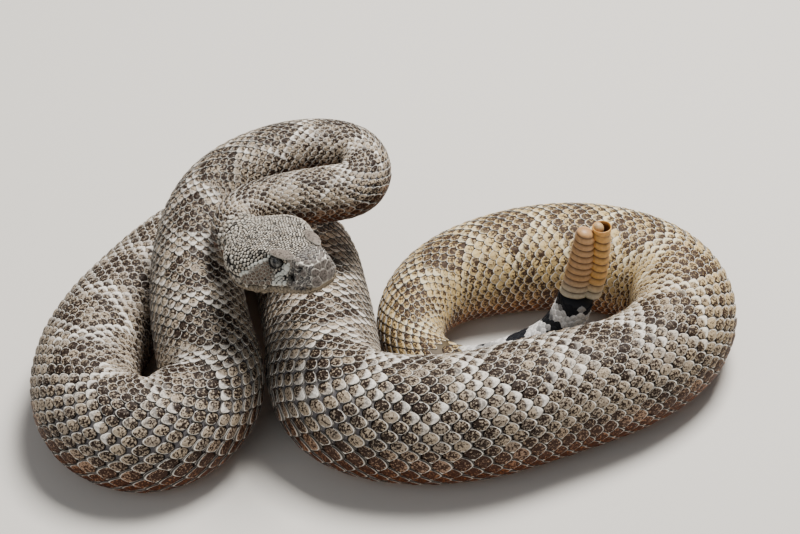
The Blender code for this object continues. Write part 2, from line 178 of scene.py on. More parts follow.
# Where the white crossbands meet the mid back, in millimetres behind the snout
CROSSBANDS = (
    41, 67, 93, 119, 143, 170, 197, 223, 250, 277, 304, 337, 368, 396, 425, 456, 486, 514, 542, 569,
    597, 627, 661, 701, 741, 780, 815, 846, 876, 906, 936, 966, 995, 1022, 1047, 1070, 1091, 1110,
    1128, 1145,
)
BAND_SCALES = 6  # scale lengths from one crossband to the next
DORSAL_ROWS = 29
DORSAL_REACH = 0.375  # share of a turn from mid back to the lowest row of dorsal scales
MID_PITCH = 0.0245  # share of a turn between the rows at mid back; lower rows lie wider
TAIL_ROWS = 15
TAIL_LENGTH = 78.0  # length before the rattle that carries the tail's own rows
UNWRAP_STRIPS = 3  # the skin's own unwrap is cut into so many lengths
BAKE_PATCH = 0.003  # size of a scale's patch on the OFBake map
PIECE_LIMIT = 190000  # triangles in one piece of the coat
SCALE_UNDER = 0.35  # how deep a body scale's underside lies in the skin
CELL_UNDER = 0.45  # the same for a head scale
PUPIL = (0.24, 0.66)  # half width and half height, as shares of the eye's radius
SEEDS = {"body": 11, "tail": 12, "belly": 12, "head": 14, "plates": 21, "granules": (22, 23)}
FLESH = [f"neck_{k}" for k in range(1, 6)] + [f"torso_{k:02d}" for k in range(1, 18)]
FLESH += ["tail_1", "tail_2", "head", "lower_jaw"]


def linear(code):
    """An sRGB hex colour as linear red, green and blue."""
    shares = [int(code[i : i + 2], 16) / 255 for i in (0, 2, 4)]
    return tuple(c / 12.92 if c <= 0.04045 else ((c + 0.055) / 1.055) ** 2.4 for c in shares)


def unit(vector):
    """Vectors scaled to length 1."""
    vector = np.asarray(vector, float)
    return vector / np.linalg.norm(vector, axis=-1, keepdims=True)


def ease(low, high, value):
    """0 below low, 1 above high, smooth between."""
    share = np.clip((np.asarray(value, float) - low) / (high - low), 0, 1)
    return share * share * (3 - 2 * share)


def natural_spline(knots, values, places):
    """Natural cubic through values at the knots, read at the given places."""
    knots = np.asarray(knots, float)
    values = np.asarray(values, float).reshape(len(knots), -1)
    span = np.diff(knots)
    matrix = np.eye(len(knots))
    right = np.zeros_like(values)
    for i in range(1, len(knots) - 1):
        matrix[i, i - 1 : i + 2] = span[i - 1], 2 * (span[i - 1] + span[i]), span[i]
        after, before = values[i + 1] - values[i], values[i] - values[i - 1]
        right[i] = 6 * (after / span[i] - before / span[i - 1])
    second = np.linalg.solve(matrix, right)
    i = np.clip(np.searchsorted(knots, places, side="right") - 1, 0, len(knots) - 2)
    after = (np.asarray(places) - knots[i])[:, None]
    before = (knots[i + 1] - np.asarray(places))[:, None]
    step = span[i][:, None]
    cubic = (second[i] * before**3 + second[i + 1] * after**3) / (6 * step)
    start = (values[i] / step - second[i] * step / 6) * before
    end = (values[i + 1] / step - second[i + 1] * step / 6) * after
    return cubic + start + end


class Route:
    """The body's centre line by distance along it."""

    FINE = 24
    CHORD_POWER = 0.8

    def __init__(self):
        points = np.array(list(ROUTE.values()), float)
        points[:, :2] += FLOOR_SHIFT
        chords = np.linalg.norm(np.diff(points[:, :3], axis=0), axis=1) ** self.CHORD_POWER
        knots = np.concatenate([[0], np.cumsum(chords)])
        spans = [np.linspace(a, b, self.FINE, endpoint=False) for a, b in zip(knots, knots[1:])]
        line = natural_spline(knots, points, np.concatenate(spans + [knots[-1:]]))
        self.xyz = line[:, :3]
        self.width = line[:, 3]
        steps = np.linalg.norm(np.diff(self.xyz, axis=0), axis=1)
        self.distance = np.concatenate([[0], np.cumsum(steps)])
        self.tangent = unit(np.gradient(self.xyz, self.distance, axis=0))
        self.bend = np.gradient(self.tangent, self.distance, axis=0)
        self.named = {name: self.distance[i * self.FINE] for i, name in enumerate(ROUTE)}

    def read(self, table, distance):
        return np.stack([np.interp(distance, self.distance, column) for column in table.T], -1)

    def frames(self, distance):
        """Centre, direction towards the tail, left, up, half width and bend at each distance."""
        along = unit(self.read(self.tangent, distance))
        left = unit(np.cross(along, (0, 0, 1)))
        up = np.cross(left, along)
        width = np.interp(distance, self.distance, self.width)
        return self.read(self.xyz, distance), along, left, up, width, self.read(self.bend, distance)


def signed_power(value, power):
    """A power that keeps the sign."""
    return np.sign(value) * np.abs(value) ** power


def body_rows(route, distance, turns, inset):
    """Rings of the body, inset by the coat's depth: one row for each distance."""
    centre, _, left, up, width, bend = route.frames(distance)
    width = width - inset
    angle = 2 * math.pi * np.asarray(turns)
    belly = np.cos(angle) < 0
    power = np.where(belly, 2 / BELLY_POWER, 1.0)
    height = np.where(belly, BELLY_DEPTH, BACK_HEIGHT)
    across = signed_power(np.sin(angle), power) * width[:, None]
    rise = signed_power(np.cos(angle), power) * height * width[:, None]
    offset = left[:, None] * across[..., None] + up[:, None] * rise[..., None]
    strength = np.linalg.norm(bend, axis=1)[:, None] + 1e-9
    inward = bend / strength
    reach = (offset * inward[:, None]).sum(-1)
    limit = INNER_LIMIT / strength
    soft = 0.7 * limit
    room = limit - soft
    kept = soft + room * (1 - np.exp(-np.maximum(reach - soft, 0) / room))
    change = np.where(reach > soft, kept - reach, 0)
    return centre[:, None] + offset + change[..., None] * inward[:, None]


class HeadFrame:
    """Places points given forward, left and up of the nape."""

    def __init__(self, route):
        centre, along = route.frames(np.array([route.named["nape"]]))[:2]
        self.origin = centre[0]
        self.forward = -along[0]
        self.left = unit(np.cross((0, 0, 1), self.forward))
        self.up = np.cross(self.forward, self.left)

    def place(self, points):
        points = np.asarray(points, float)
        return self.origin + points @ np.stack([self.forward, self.left, self.up])

    def measure(self, places):
        return (places - self.origin) @ np.stack([self.forward, self.left, self.up]).T


def head_half_section(forward, inset):
    """Half of the head's outline at one station, from mid crown to mid chin: (left, up) pairs."""
    lip, crown, brow, brow_z, swell, chin, mouth = natural_spline(
        HEAD_STATIONS[:, 0], HEAD_STATIONS[:, 1:], [forward]
    )[0]
    lip, crown, brow = lip - inset, crown - inset, brow - inset
    brow_z, chin = brow_z - inset * 0.6, chin + inset
    open_mouth = ease(MOUTH_CORNER - 2, MOUTH_CORNER + 1.5, forward)
    across = (0.0, 0.28, 0.56, 0.82, 1.0)
    points = [(brow * share, crown - (crown - brow_z) * share**2.4) for share in across]
    lip_z = mouth + 2.0
    lean = unit((brow_z - lip_z, lip - brow))
    for share in (0.2, 0.4, 0.6, 0.8):
        bulge = swell * math.sin(math.pi * share)
        left = brow + (lip - brow) * share + lean[0] * bulge
        points.append((left, brow_z + (lip_z - brow_z) * share + lean[1] * bulge))
    groove = 0.5 + 0.9 * float(open_mouth)
    points.append((lip, lip_z))
    points.append((lip - 0.2, mouth + 0.9))
    points.append((lip - groove, mouth + 0.12))
    points.append((lip - groove - 0.1, mouth - 0.12))
    points.append((lip - 0.7, mouth - 1.1))
    depth = mouth - 1.1 - chin
    for turn in np.radians((18, 36, 54, 72, 90)):
        left = (lip - 0.7) * abs(math.cos(turn)) ** 0.75 if turn < 1.57 else 0.0
        points.append((left, mouth - 1.1 - depth * math.sin(turn) ** 0.9))
    return np.array(points)


def dent(places, centre, radius, depth, direction):
    """Pushes the places near a centre along a direction, deepest at the centre."""
    away = np.linalg.norm(places - centre, axis=-1)
    return places + (depth * (1 - ease(radius * 0.35, radius, away)))[..., None] * direction


class Skin:
    """The skin as a grid of places: rows from the snout to the rattle, columns round the body."""

    COLUMNS = 360
    ROW_STEP = 0.5
    BODY_INSET = 0.75
    HEAD_INSET = 0.45

    def __init__(self):
        self.route = Route()
        self.head = HeadFrame(self.route)
        self.nape = self.route.named["nape"]
        self.length = HEAD_LENGTH + self.route.named["rattle base"] - 0.2 - self.nape
        self.rows = np.arange(-SNOUT_CAP, self.length, self.ROW_STEP)
        self.turns = np.arange(self.COLUMNS) / self.COLUMNS
        self.places = np.zeros((len(self.rows), self.COLUMNS, 3))
        in_head = self.rows < BLEND_END
        in_body = self.rows > BLEND_START
        self.places[in_head] = [self.head_row(row) for row in self.rows[in_head]]
        distance = self.rows[in_body] - HEAD_LENGTH + self.nape
        body = body_rows(self.route, distance, self.turns, self.BODY_INSET)
        share = ease(BLEND_START, BLEND_END, self.rows[in_body])[:, None, None]
        self.places[in_body] = self.places[in_body] * (1 - share) + body * share
        self.carve_head()
        self.places[..., 2] = np.maximum(self.places[..., 2], 0.55)
        self.normals, self.row_stretch, self.turn_stretch = self.slopes()
        self.scale_count = self.count_scales()

    def head_row(self, row):
        """One ring of the head. Rows below zero close the snout."""
        forward = HEAD_LENGTH - max(row, 0)
        half = head_half_section(max(forward, 0.0), self.HEAD_INSET)
        place = np.abs(((self.turns + 0.5) % 1) - 0.5) * 2
        index = np.interp(place, SECTION_PLACES, np.arange(len(half)))
        section = natural_spline(np.arange(len(half)), half, index)
        section[:, 0] *= np.where(self.turns > 0.5, -1, 1)
        if row < 0:
            turn = -row / SNOUT_CAP * math.pi / 2
            middle = section.mean(axis=0) * (0, 1)
            section = middle + (section - middle) * math.cos(turn)
            forward += SNOUT_BULGE * math.sin(turn)
        return self.head.place(np.column_stack([np.full(len(section), forward), section]))

    def carve_head(self):
        """Eye sockets, pits and nostrils."""
        count = int(np.searchsorted(self.rows, BLEND_START))
        part = self.places[:count]
        for side in (1, -1):
            inward = -self.head.left * side
            for centre, radius, depth in (
                (EYE_CENTRE, 3.6, 2.6),
                (PIT_CENTRE, 2.4, 2.6),
                (NOSTRIL_CENTRE, 2.1, 2.0),
            ):
                place = self.head.place((centre[0], centre[1] * side, centre[2]))
                part = dent(part, place, radius, depth, inward)
        self.places[:count] = part

    def slopes(self):
        """Outward normals and how many millimetres a unit of row or turn covers."""
        by_row = np.gradient(self.places, self.rows, axis=0)
        wrapped = np.concatenate([self.places[:, -1:], self.places, self.places[:, :1]], axis=1)
        by_turn = (wrapped[:, 2:] - wrapped[:, :-2]) * self.COLUMNS / 2
        normals = np.cross(by_turn, by_row)
        size = np.linalg.norm(normals, axis=-1, keepdims=True)
        stretch = [np.linalg.norm(slope, axis=-1) for slope in (by_row, by_turn)]
        return normals / (size + 1e-9), *stretch

    def count_scales(self):
        """Number of scale lengths to each row, as many between crossbands everywhere."""
        bands = np.array(CROSSBANDS, float)
        index = np.linspace(0, len(bands) - 1, 800)
        fine = natural_spline(np.arange(len(bands)), bands, index)[:, 0]
        return np.interp(self.rows, fine, index * BAND_SCALES)

    def read(self, table, row, turn):
        """A table of the grid read between its rows and columns."""
        across = (np.asarray(turn) % 1) * self.COLUMNS
        down = np.clip((np.asarray(row) - self.rows[0]) / self.ROW_STEP, 0, len(self.rows) - 1.001)
        i = down.astype(int)
        j = across.astype(int) % self.COLUMNS
        k = (j + 1) % self.COLUMNS
        a = down - i
        b = across - np.floor(across)
        if table.ndim == 3:
            a = a[..., None]
            b = b[..., None]
        upper = table[i, j] * (1 - b) + table[i, k] * b
        lower = table[i + 1, j] * (1 - b) + table[i + 1, k] * b
        return upper * (1 - a) + lower * a

    def row_named(self, name):
        return HEAD_LENGTH + self.route.named[name] - self.nape

    def scales_to(self, row):
        return np.interp(row, self.rows, self.scale_count)

    def row_of(self, count):
        return np.interp(count, self.scale_count, self.rows)


def row_turn(index, rows=DORSAL_ROWS):
    """Share of a turn where a dorsal row lies, counted from mid back."""
    half = (rows - 1) / 2
    share = np.asarray(index, float) / half
    first = MID_PITCH * (DORSAL_ROWS - 1) / 2 / DORSAL_REACH
    return DORSAL_REACH * (first * share + (1 - first) * share * np.abs(share))


def turn_row(turn):
    """The dorsal row at a share of a turn, counted from mid back."""
    signed = (np.asarray(turn) + 0.5) % 1 - 0.5
    table = np.linspace(0, 20, 120)
    return np.interp(np.abs(signed), row_turn(table), table) * np.sign(signed)


def unwrap(skin, row, turn, starts=None):
    """Place on a plain unwrap of the skin, cut into strips laid side by side.

    Where starts gives the first corner of each face, all its corners stay on one strip.
    """
    share = (np.asarray(row) - skin.rows[0]) / (skin.rows[-1] - skin.rows[0]) * UNWRAP_STRIPS
    if starts is None:
        first, turn = share, np.asarray(turn) % 1
    else:
        sizes = np.diff(np.append(starts, len(share)))
        first = np.repeat(np.minimum.reduceat(share, starts), sizes)
        turn = np.clip(turn - np.round(turn - np.repeat(turn[starts], sizes)), 0, 1)
    strip = np.clip(np.floor(first), 0, UNWRAP_STRIPS - 1)
    side = (strip + 0.02 + 0.96 * turn) / UNWRAP_STRIPS
    return np.stack([0.01 + 0.98 * (share - strip), side], -1)


def hashed(*values):
    """A repeatable chance from 0 to 1 for whole numbers."""
    weights = (12.9898, 78.233, 37.719)
    total = sum(np.asarray(value, float) * weight for value, weight in zip(values, weights))
    return np.abs(np.sin(total) * 43758.5453) % 1


def body_marks(skin, row, turn):
    """Markings of the body: dark, white, painted shade of the low flank, rear tint, tail and black
    ring.
    """
    line = turn_row(turn)
    side = np.abs(line) * 24 / (DORSAL_ROWS - 1)
    count = skin.scales_to(row)
    cell = np.round(count / BAND_SCALES)
    along = count - cell * BAND_SCALES
    border = np.abs(along) - 0.5 * np.abs(line)
    strength = ease(0.1, 0.8, hashed(cell, line > 0, along > 0))
    white = (1 - ease(0.25, 0.5, np.abs(border))) * (0.15 + 0.85 * strength)
    white = np.maximum(white, (1 - ease(0.55, 1.1, np.abs(along))) * (1 - ease(2.0, 4.5, side)))
    white = white * (1 - ease(4.8, 7.0, side)) * (0.35 + 0.65 * ease(2, 3, cell))
    inside = ease(0.35, 0.7, border)
    edging = inside * (1 - ease(1.3, 2.2, border))
    spot = 1 - ease(0.7, 1.9, np.hypot(along, (side - 8.7) * 0.8))
    small = 1 - ease(0.4, 1.5, np.hypot(np.abs(along) - 3, (side - 10.8) * 0.8))
    rear = ease(skin.row_named("right front"), skin.row_named("right back"), row)
    front_dark = 0.15 + 0.15 * inside + 0.35 * edging + 0.3 * spot + 0.2 * small
    rear_dark = 0.05 + 0.35 * inside + 0.25 * edging + 0.3 * spot + 0.2 * small
    dark = np.clip(front_dark * (1 - rear) + rear_dark * rear, 0, 1)
    # The lowest rows take painted shade: darker, and warm brown as if lit by light reflected from
    # the ground
    flank = ease(6.5, 10.5, side)
    to_rattle = skin.rows[-1] - np.asarray(row)
    edges = ((ease(at - 0.4, at + 0.4, to_rattle) for at in ring) for ring in TAIL_RINGS)
    ring = sum(start * (1 - end) for start, end in edges)
    tail = 1 - ease(TAIL_LENGTH - 12, TAIL_LENGTH, to_rattle)
    return dark, white, flank, rear, tail, ring


def near(x, z, centre, radius, soft=0.3):
    """1 near a centre of the head's side, seen from the side."""
    away = np.hypot(x - centre[0], z - centre[-1])
    return 1 - ease(radius - soft, radius + soft, away)


def side_stripe(x, z, start, end, first, last, soft=0.35):
    """1 inside a stripe of the head's side from start to end, forward and up. Its width changes."""
    start = np.asarray(start, float)
    along = np.asarray(end, float) - start
    share = np.clip(((x - start[0]) * along[0] + (z - start[1]) * along[1]) / (along @ along), 0, 1)
    away = np.hypot(x - start[0] - share * along[0], z - start[1] - share * along[1])
    width = first + (last - first) * share
    return 1 - ease(width - soft, width + soft, away)


def head_marks(skin, places):
    """Markings of the head: dark cheek, pale stripes, blue-grey snout, cream chin, and painted
    shade in the pits, nostrils and eye sockets.
    """
    local = skin.head.measure(places)
    local = np.stack([local[..., 0], np.abs(local[..., 1]), local[..., 2]], -1)
    x, y, z = local[..., 0], local[..., 1], local[..., 2]
    mouth = np.interp(x, HEAD_STATIONS[:, 0], HEAD_STATIONS[:, -1])
    on_side = ease(5.0, 7.0, y)
    stripe = side_stripe(x, z, (33.2, 8.2), (20.5, -1.0), 0.8, 0.6)
    front = side_stripe(x, z, (40.6, 3.4), (37.6, 0.4), 2.1, 1.2)
    front = np.maximum(front, 0.85 * side_stripe(x, z, (37.6, 0.4), (34.3, -3.8), 1.2, 0.8))
    lip_patch = 0.9 * side_stripe(x, z, (40.2, -2.2), (32.5, -4.4), 0.8, 0.8)
    pale = np.clip(np.maximum(stripe, np.maximum(front, lip_patch)), 0, 1) * on_side
    line = np.interp(x, (20.5, 33.2), (-1.0, 8.2))
    below = ease(0.3, 1.0, line - z) * ease(0.6, 1.6, z - mouth)
    cheek = on_side * below * ease(19, 23, x) * (1 - ease(33.8, 35.5, x)) * (1 - pale)
    snout = ease(40, 45, x)
    chin = 1 - ease(-1.0, 0.2, z - mouth)
    # Painted shade inside the heat pits and nostrils, and in the sockets round the eyes
    recess_shading = np.maximum(near(x, z, PIT_CENTRE, 1.75), near(x, z, NOSTRIL_CENTRE, 1.35))
    recess_shading = np.maximum(recess_shading, near(x, z, EYE_SEAT, 3.2)) * ease(3.0, 4.5, y)
    return cheek, pale, snout, chin, recess_shading


def clear_selection():
    bpy.ops.object.select_all(action="DESELECT")


def mesh_piece(name, verts, quads, tris, material):
    """A mesh in metres from arrays of points in millimetres and of faces."""
    mesh = bpy.data.meshes.new(name)
    verts = np.asarray(verts, float).reshape(-1, 3) * MM
    quads = np.asarray(quads, int).reshape(-1, 4)
    tris = np.asarray(tris, int).reshape(-1, 3)
    loops = np.concatenate([quads.ravel(), tris.ravel()])
    sizes = np.concatenate([np.full(len(quads), 4), np.full(len(tris), 3)])
    mesh.vertices.add(len(verts))
    mesh.vertices.foreach_set("co", verts.ravel())
    mesh.loops.add(len(loops))
    mesh.loops.foreach_set("vertex_index", loops)
    mesh.polygons.add(len(sizes))
    mesh.polygons.foreach_set("loop_start", np.concatenate([[0], np.cumsum(sizes)[:-1]]))
    mesh.polygons.foreach_set("loop_total", sizes)
    mesh.update(calc_edges=True)
    mesh.validate()
    mesh.shade_smooth()
    mesh.materials.append(material)
    piece = bpy.data.objects.new(name, mesh)
    bpy.context.scene.collection.objects.link(piece)
    return piece


def set_bake_map(piece, per_point):
    """Writes the OFBake map from one place for each point."""
    mesh = piece.data
    index = np.zeros(len(mesh.loops), int)
    mesh.loops.foreach_get("vertex_index", index)
    layer = mesh.uv_layers.new(name="OFBake")
    layer.data.foreach_set("uv", np.asarray(per_point, float)[index].ravel())


def set_colour_attribute(piece, name, columns, shape=None):
    """Writes four columns of values as a colour attribute. shape spreads them over the points."""
    if shape:
        columns = [np.broadcast_to(column, shape).ravel() for column in columns]
    layer = piece.data.attributes.new(name, "FLOAT_COLOR", "POINT")
    layer.data.foreach_set("color", np.stack(columns, -1).astype(float).ravel())


def ring_faces(count, sides):
    """Quads and end triangles of a stack of rings. The two end points come after the rings."""
    grid = np.arange(count * sides).reshape(count, sides)
    after = np.roll(grid, -1, axis=1)
    quads = np.stack([grid[:-1], grid[1:], after[1:], after[:-1]], -1).reshape(-1, 4)
    first = np.full(sides, count * sides)
    low, high = [first, grid[0], after[0]], [grid[-1], first + 1, after[-1]]
    return quads, np.concatenate([np.stack(corners, -1) for corners in (low, high)])


class Plate:
    """One scale as a closed shape: a grid of cells on top, a short wall and a flat underside."""

    MIDDLE = 0.45

    def __init__(self, along, across):
        u, v = np.meshgrid(along, across, indexing="ij")
        rows, columns = u.shape
        grid = np.arange(rows * columns).reshape(rows, columns)
        corners = [grid[:-1, :-1], grid[:-1, 1:], grid[1:, 1:], grid[1:, :-1]]
        top = np.stack(corners, -1).reshape(-1, 4)
        loop = np.concatenate([grid[0, :-1], grid[:-1, -1], grid[-1, :0:-1], grid[:0:-1, 0]])
        lower = rows * columns + np.arange(len(loop))
        after = np.roll(np.arange(len(loop)), -1)
        wall = np.stack([loop[after], loop, lower, lower[after]], -1)
        middle = rows * columns + len(loop)
        self.u = np.concatenate([u.ravel(), u.ravel()[loop], [0.5]])
        self.v = np.concatenate([v.ravel(), v.ravel()[loop], [0.0]])
        self.under = np.arange(middle + 1) >= rows * columns
        self.quads = np.concatenate([top, wall])
        self.tris = np.stack([lower[after], lower, np.full(len(loop), middle)], -1)
        self.points = middle + 1
        self.triangles = 2 * len(self.quads) + len(self.tris)

    def outline(self, point, blunt):
        """Places along and across. point sharpens the tip, blunt squares the root."""
        tip_power = 2.3 - 0.7 * point
        tip_cut = (0.88 + 0.08 * point) * (1 - 0.25 * blunt)
        root_cut = 0.85 * (1 - blunt)
        across = np.abs(self.v)[None]
        tail = self.u[None] > self.MIDDLE
        curve = np.where(tail, tip_cut * across**tip_power, root_cut * across**2.6)
        a = self.MIDDLE + (self.u[None] - self.MIDDLE) * (1 - curve)
        return a, np.broadcast_to(self.v[None], a.shape)


def spread_plates(skin, plate, name, material, sets):
    """Builds one piece of many scales. sets holds one value per scale for each named size."""
    n = len(sets["row"])
    column = {
        key: np.broadcast_to(np.asarray(value, float), (n,))[:, None] for key, value in sets.items()
    }
    u, v, under = plate.u, plate.v, plate.under
    a, b = plate.outline(column["point"], column["blunt"])
    b = np.where(under[None], b * 0.94, b)
    row = column["row"] + (a - 0.5) * column["length"]
    turn = column["turn"] + b * column["width"] / 2
    lift = column["root"] + (column["tip"] - column["root"]) * ease(0.0, 1.0, u)[None] ** 0.8
    keel_line = np.exp(-((v / 0.17) ** 2)) * ease(0.02, 0.25, u) * (1 - ease(0.8, 0.97, u))
    edge = np.maximum(np.abs(v), np.abs(2 * u - 1))
    crown = 1 - edge**3
    height = lift + column["keel"] * keel_line[None] + column["dome"] * crown[None]
    height = np.where(under[None], -SCALE_UNDER, height)
    base = skin.read(skin.places, row, turn)
    normal = skin.read(skin.normals, row, turn)
    verts = base + normal * height[..., None]
    verts[..., 2] = np.maximum(verts[..., 2], 0.03)
    start = (np.arange(n) * plate.points)[:, None, None]
    quads = (plate.quads[None] + start).reshape(-1, 4)
    tris = (plate.tris[None] + start).reshape(-1, 3)
    piece = mesh_piece(name, verts, quads, tris, material)
    root = unwrap(skin, sets["row"], sets["turn"])[:, None]
    local = np.stack([a - 0.5, b * 0.5], -1) * BAKE_PATCH
    set_bake_map(piece, (root + local).reshape(-1, 2))
    rim = np.maximum(ease(0.8, 1.0, np.abs(v)) * ease(0.1, 0.5, u), ease(0.86, 1.0, u))
    heart = np.exp(-((v / 0.5) ** 2)) * ease(0.1, 0.35, u) * (1 - ease(0.55, 0.85, u))
    rim, heart, tip = (np.where(under, 0.0, value)[None] for value in (rim, heart, u))
    chance, luck = column["chance"], column["luck"]
    # A scale is marked as a whole, by its place and a little chance
    shifted = column["row"] + column["length"] * (chance - 0.5) * 0.6
    dark, white, flank, rear, tail, ring = body_marks(skin, shifted, column["turn"])
    white = white * (0.3 + 0.7 * ease(0.1, 0.6, luck))
    ring = ring + (1 - 2 * ring) * (luck > 0.9) * 0.5
    set_colour_attribute(piece, "form", (rim, heart, tip, chance), height.shape)
    set_colour_attribute(piece, "marks", (dark, white, flank, rear), height.shape)
    set_colour_attribute(piece, "tail", (tail, ring, luck, luck), height.shape)
    return piece


# Patterns of the materials: size in millimetres, detail and roughness of their noise
PATTERNS = {
    "mottle": (0.95, 3.0, 0.65),  # dark pigment within a scale
    "cloud": (11.0, 1.0, 0.6),  # darker and lighter clouds over many scales
    "tooth": (0.3, 2.0, 0.6),  # dry keratin, drawn as coarse as it needs to show
    "crease": (0.5, 3.0, 0.6),  # creases of bare skin
    "stain": (1.2, 2.0, 0.6),  # uneven colour of bare skin
    "speckle": (0.8, 3.0, 0.6),  # dark specks of the head
    "clouding": (3.5, 2.0, 0.6),  # grey clouding of the belly
    "fleck": (0.3, 3.0, 0.6),  # light flecks of the iris
    "streak": (1.6, 3.0, 0.6),  # stains of age on horn
    "grain": (0.4, 2.0, 0.6),  # grain of horn
    "paper": (3.0, 2.0, 0.6),  # tooth of paper, drawn coarse to show
}


def node(tree, kind, inputs, output=0, **settings):
    """Adds a shader node and returns one output. Each input is a value or another node's output."""
    place = len(tree.nodes)
    made = tree.nodes.new("ShaderNode" + kind)
    made.location = (200 * (place % 8) - 2000, -250 * (place // 8))
    for key, value in settings.items():
        setattr(made, key, value)
    for key, value in inputs.items() if isinstance(inputs, dict) else enumerate(inputs):
        socket = made.inputs[key]
        if isinstance(value, bpy.types.NodeSocket):
            tree.links.new(value, socket)
        else:
            socket.default_value = (*value, 1) if socket.type == "RGBA" else value
    return made.outputs[output]


def new_material(name, roughness, specular, attributes=(), patterns=()):
    """A material, its tree, the four columns of each attribute and the noise of each pattern."""
    material = bpy.data.materials.new(name)
    material.use_nodes = True
    tree = material.node_tree
    shader = tree.nodes["Principled BSDF"]
    shader.inputs["Roughness"].default_value = roughness
    shader.inputs["Specular IOR Level"].default_value = specular
    columns = []
    for attribute in attributes:
        whole = node(tree, "Attribute", (), "Color", attribute_name=attribute)
        parts = node(tree, "SeparateColor", (whole,)).node.outputs
        columns.append((*parts, whole.node.outputs["Alpha"]))
    where = node(tree, "TexCoord", (), "Object")
    noises = []
    for size, detail, rough in (PATTERNS[pattern] for pattern in patterns):
        inputs = {"Vector": where, "Scale": 1 / (size * MM), "Detail": detail, "Roughness": rough}
        noises.append(node(tree, "TexNoise", inputs, "Fac"))
    return material, tree, columns, noises


def paint(tree, colour, *layers):
    """Lays colours over a first one. A layer is a share, the most of it that shows and a colour."""
    for share, most, over in layers:
        if most < 1:
            share = node(tree, "Math", (share, most), operation="MULTIPLY")
        colour = node(tree, "Mix", {0: share, 6: colour, 7: over}, 2, data_type="RGBA")
    return colour


def steps(tree, *values):
    """For each value a smooth step from 0 at its low bound to 1 at its high one."""
    return [node(tree, "MapRange", bounds, interpolation_type="SMOOTHSTEP") for bounds in values]


def surface(tree, colour, relief=None, strength=0.0, depth_mm=0.0):
    """Gives the shader its colour, and relief where there is any."""
    shader = tree.nodes["Principled BSDF"]
    tree.links.new(colour, shader.inputs["Base Color"])
    if relief:
        inputs = {"Height": relief, "Strength": strength, "Distance": depth_mm * MM}
        bump = node(tree, "Bump", inputs)
        tree.links.new(bump, shader.inputs["Normal"])


def keratin_material(colours):
    """Dry keeled snake scale: matt keratin with a faint satin sheen, mottled pigment under it."""
    material, tree, columns, (mottle, cloud, tooth) = new_material(
        "dorsal_scale_keratin", 0.55, 0.14, ("marks", "form", "tail"), ("mottle", "cloud", "tooth")
    )
    (dark, white, flank, rear), (rim, heart, tip, chance), (tail, ring, luck, _) = columns
    above = node(tree, "Math", (1.0, flank), operation="SUBTRACT")
    grey = node(tree, "Math", (luck, above), operation="MULTIPLY")
    # On the low rows the ground and the diamonds take the flank's painted shade colours
    ground = paint(
        tree, colours.ground, (rear, 1, colours.rear_ground),
        (flank, 0.95, colours.flank_light), (grey, 0.35, colours.between),
    )
    deep = paint(tree, colours.blotch, (rear, 1, colours.rear_blotch), (flank, 0.95, colours.flank))
    light = paint(tree, colours.pale, (rear, 1, colours.rear_pale))
    # How dark the scale is, before the mottling breaks it up. On the low rows it takes painted
    # shade too
    shade = node(tree, "Math", (heart, 0.3, dark), operation="MULTIPLY_ADD")
    weights = (chance, 0.5, 0.5), (cloud, 1.3, 0.5), (tip, -0.3, 0.5), (flank, 0.5, 0.0)
    for value, weight, middle in weights:
        part = node(tree, "Math", (value, weight, -weight * middle), operation="MULTIPLY_ADD")
        shade = node(tree, "Math", (shade, part), operation="ADD")
    behind = node(tree, "Math", (tip, 0.5), operation="SUBTRACT")
    behind = node(tree, "Math", (rear, behind), operation="MULTIPLY")
    shade = node(tree, "Math", (behind, -0.9, shade), operation="MULTIPLY_ADD")
    shade = node(tree, "Math", (shade, 0.72), operation="MINIMUM")
    cover = node(tree, "Math", (shade, 0.21, mottle), operation="MULTIPLY_ADD")
    # line paints a dark shadow line round the outer edge of each scale, and root paints shade on
    # the scale's root and on the wall under its free tip, both in the speck colour
    pigment, far, edge, free, line, root = steps(
        tree, (cover, 0.5, 0.61), (tip, 0.46, 0.7), (rim, 0.1, 0.35),
        (tip, 0.2, 0.5), (rim, 0.5, 0.72), (tip, 0.14, 0.02),
    )
    kept = node(tree, "Math", (pigment, -0.3, 1.0), operation="MULTIPLY_ADD")
    rim_luck = node(tree, "Math", (luck, 0.3, 0.7), operation="MULTIPLY_ADD")
    # upper dims the pale rims on the low rows, as painted shade
    upper = node(tree, "Math", (flank, -0.45, 1.0), operation="MULTIPLY_ADD")
    for factor in (far, kept):
        white = node(tree, "Math", (white, factor), operation="MULTIPLY")
    for factor in (free, rim_luck, upper):
        edge = node(tree, "Math", (edge, factor), operation="MULTIPLY")
    black = colours.tail_black
    ringed = paint(tree, colours.tail_white, (ring, 1, black), (pigment, 0.35, black))
    # edge lays the rim colour on the free edge of each scale: partly the scale's own pale edge,
    # partly a painted highlight where the raised tip catches the light. rim_luck makes it stronger
    # or weaker at random
    whole = paint(
        tree, ground, (pigment, 1, deep), (white, 1, light), (edge, 1, colours.rim),
        (line, 0.85, colours.speck), (root, 1, colours.speck), (tail, 1, ringed),
    )
    surface(tree, whole, tooth, 0.4, 0.12)
    return material


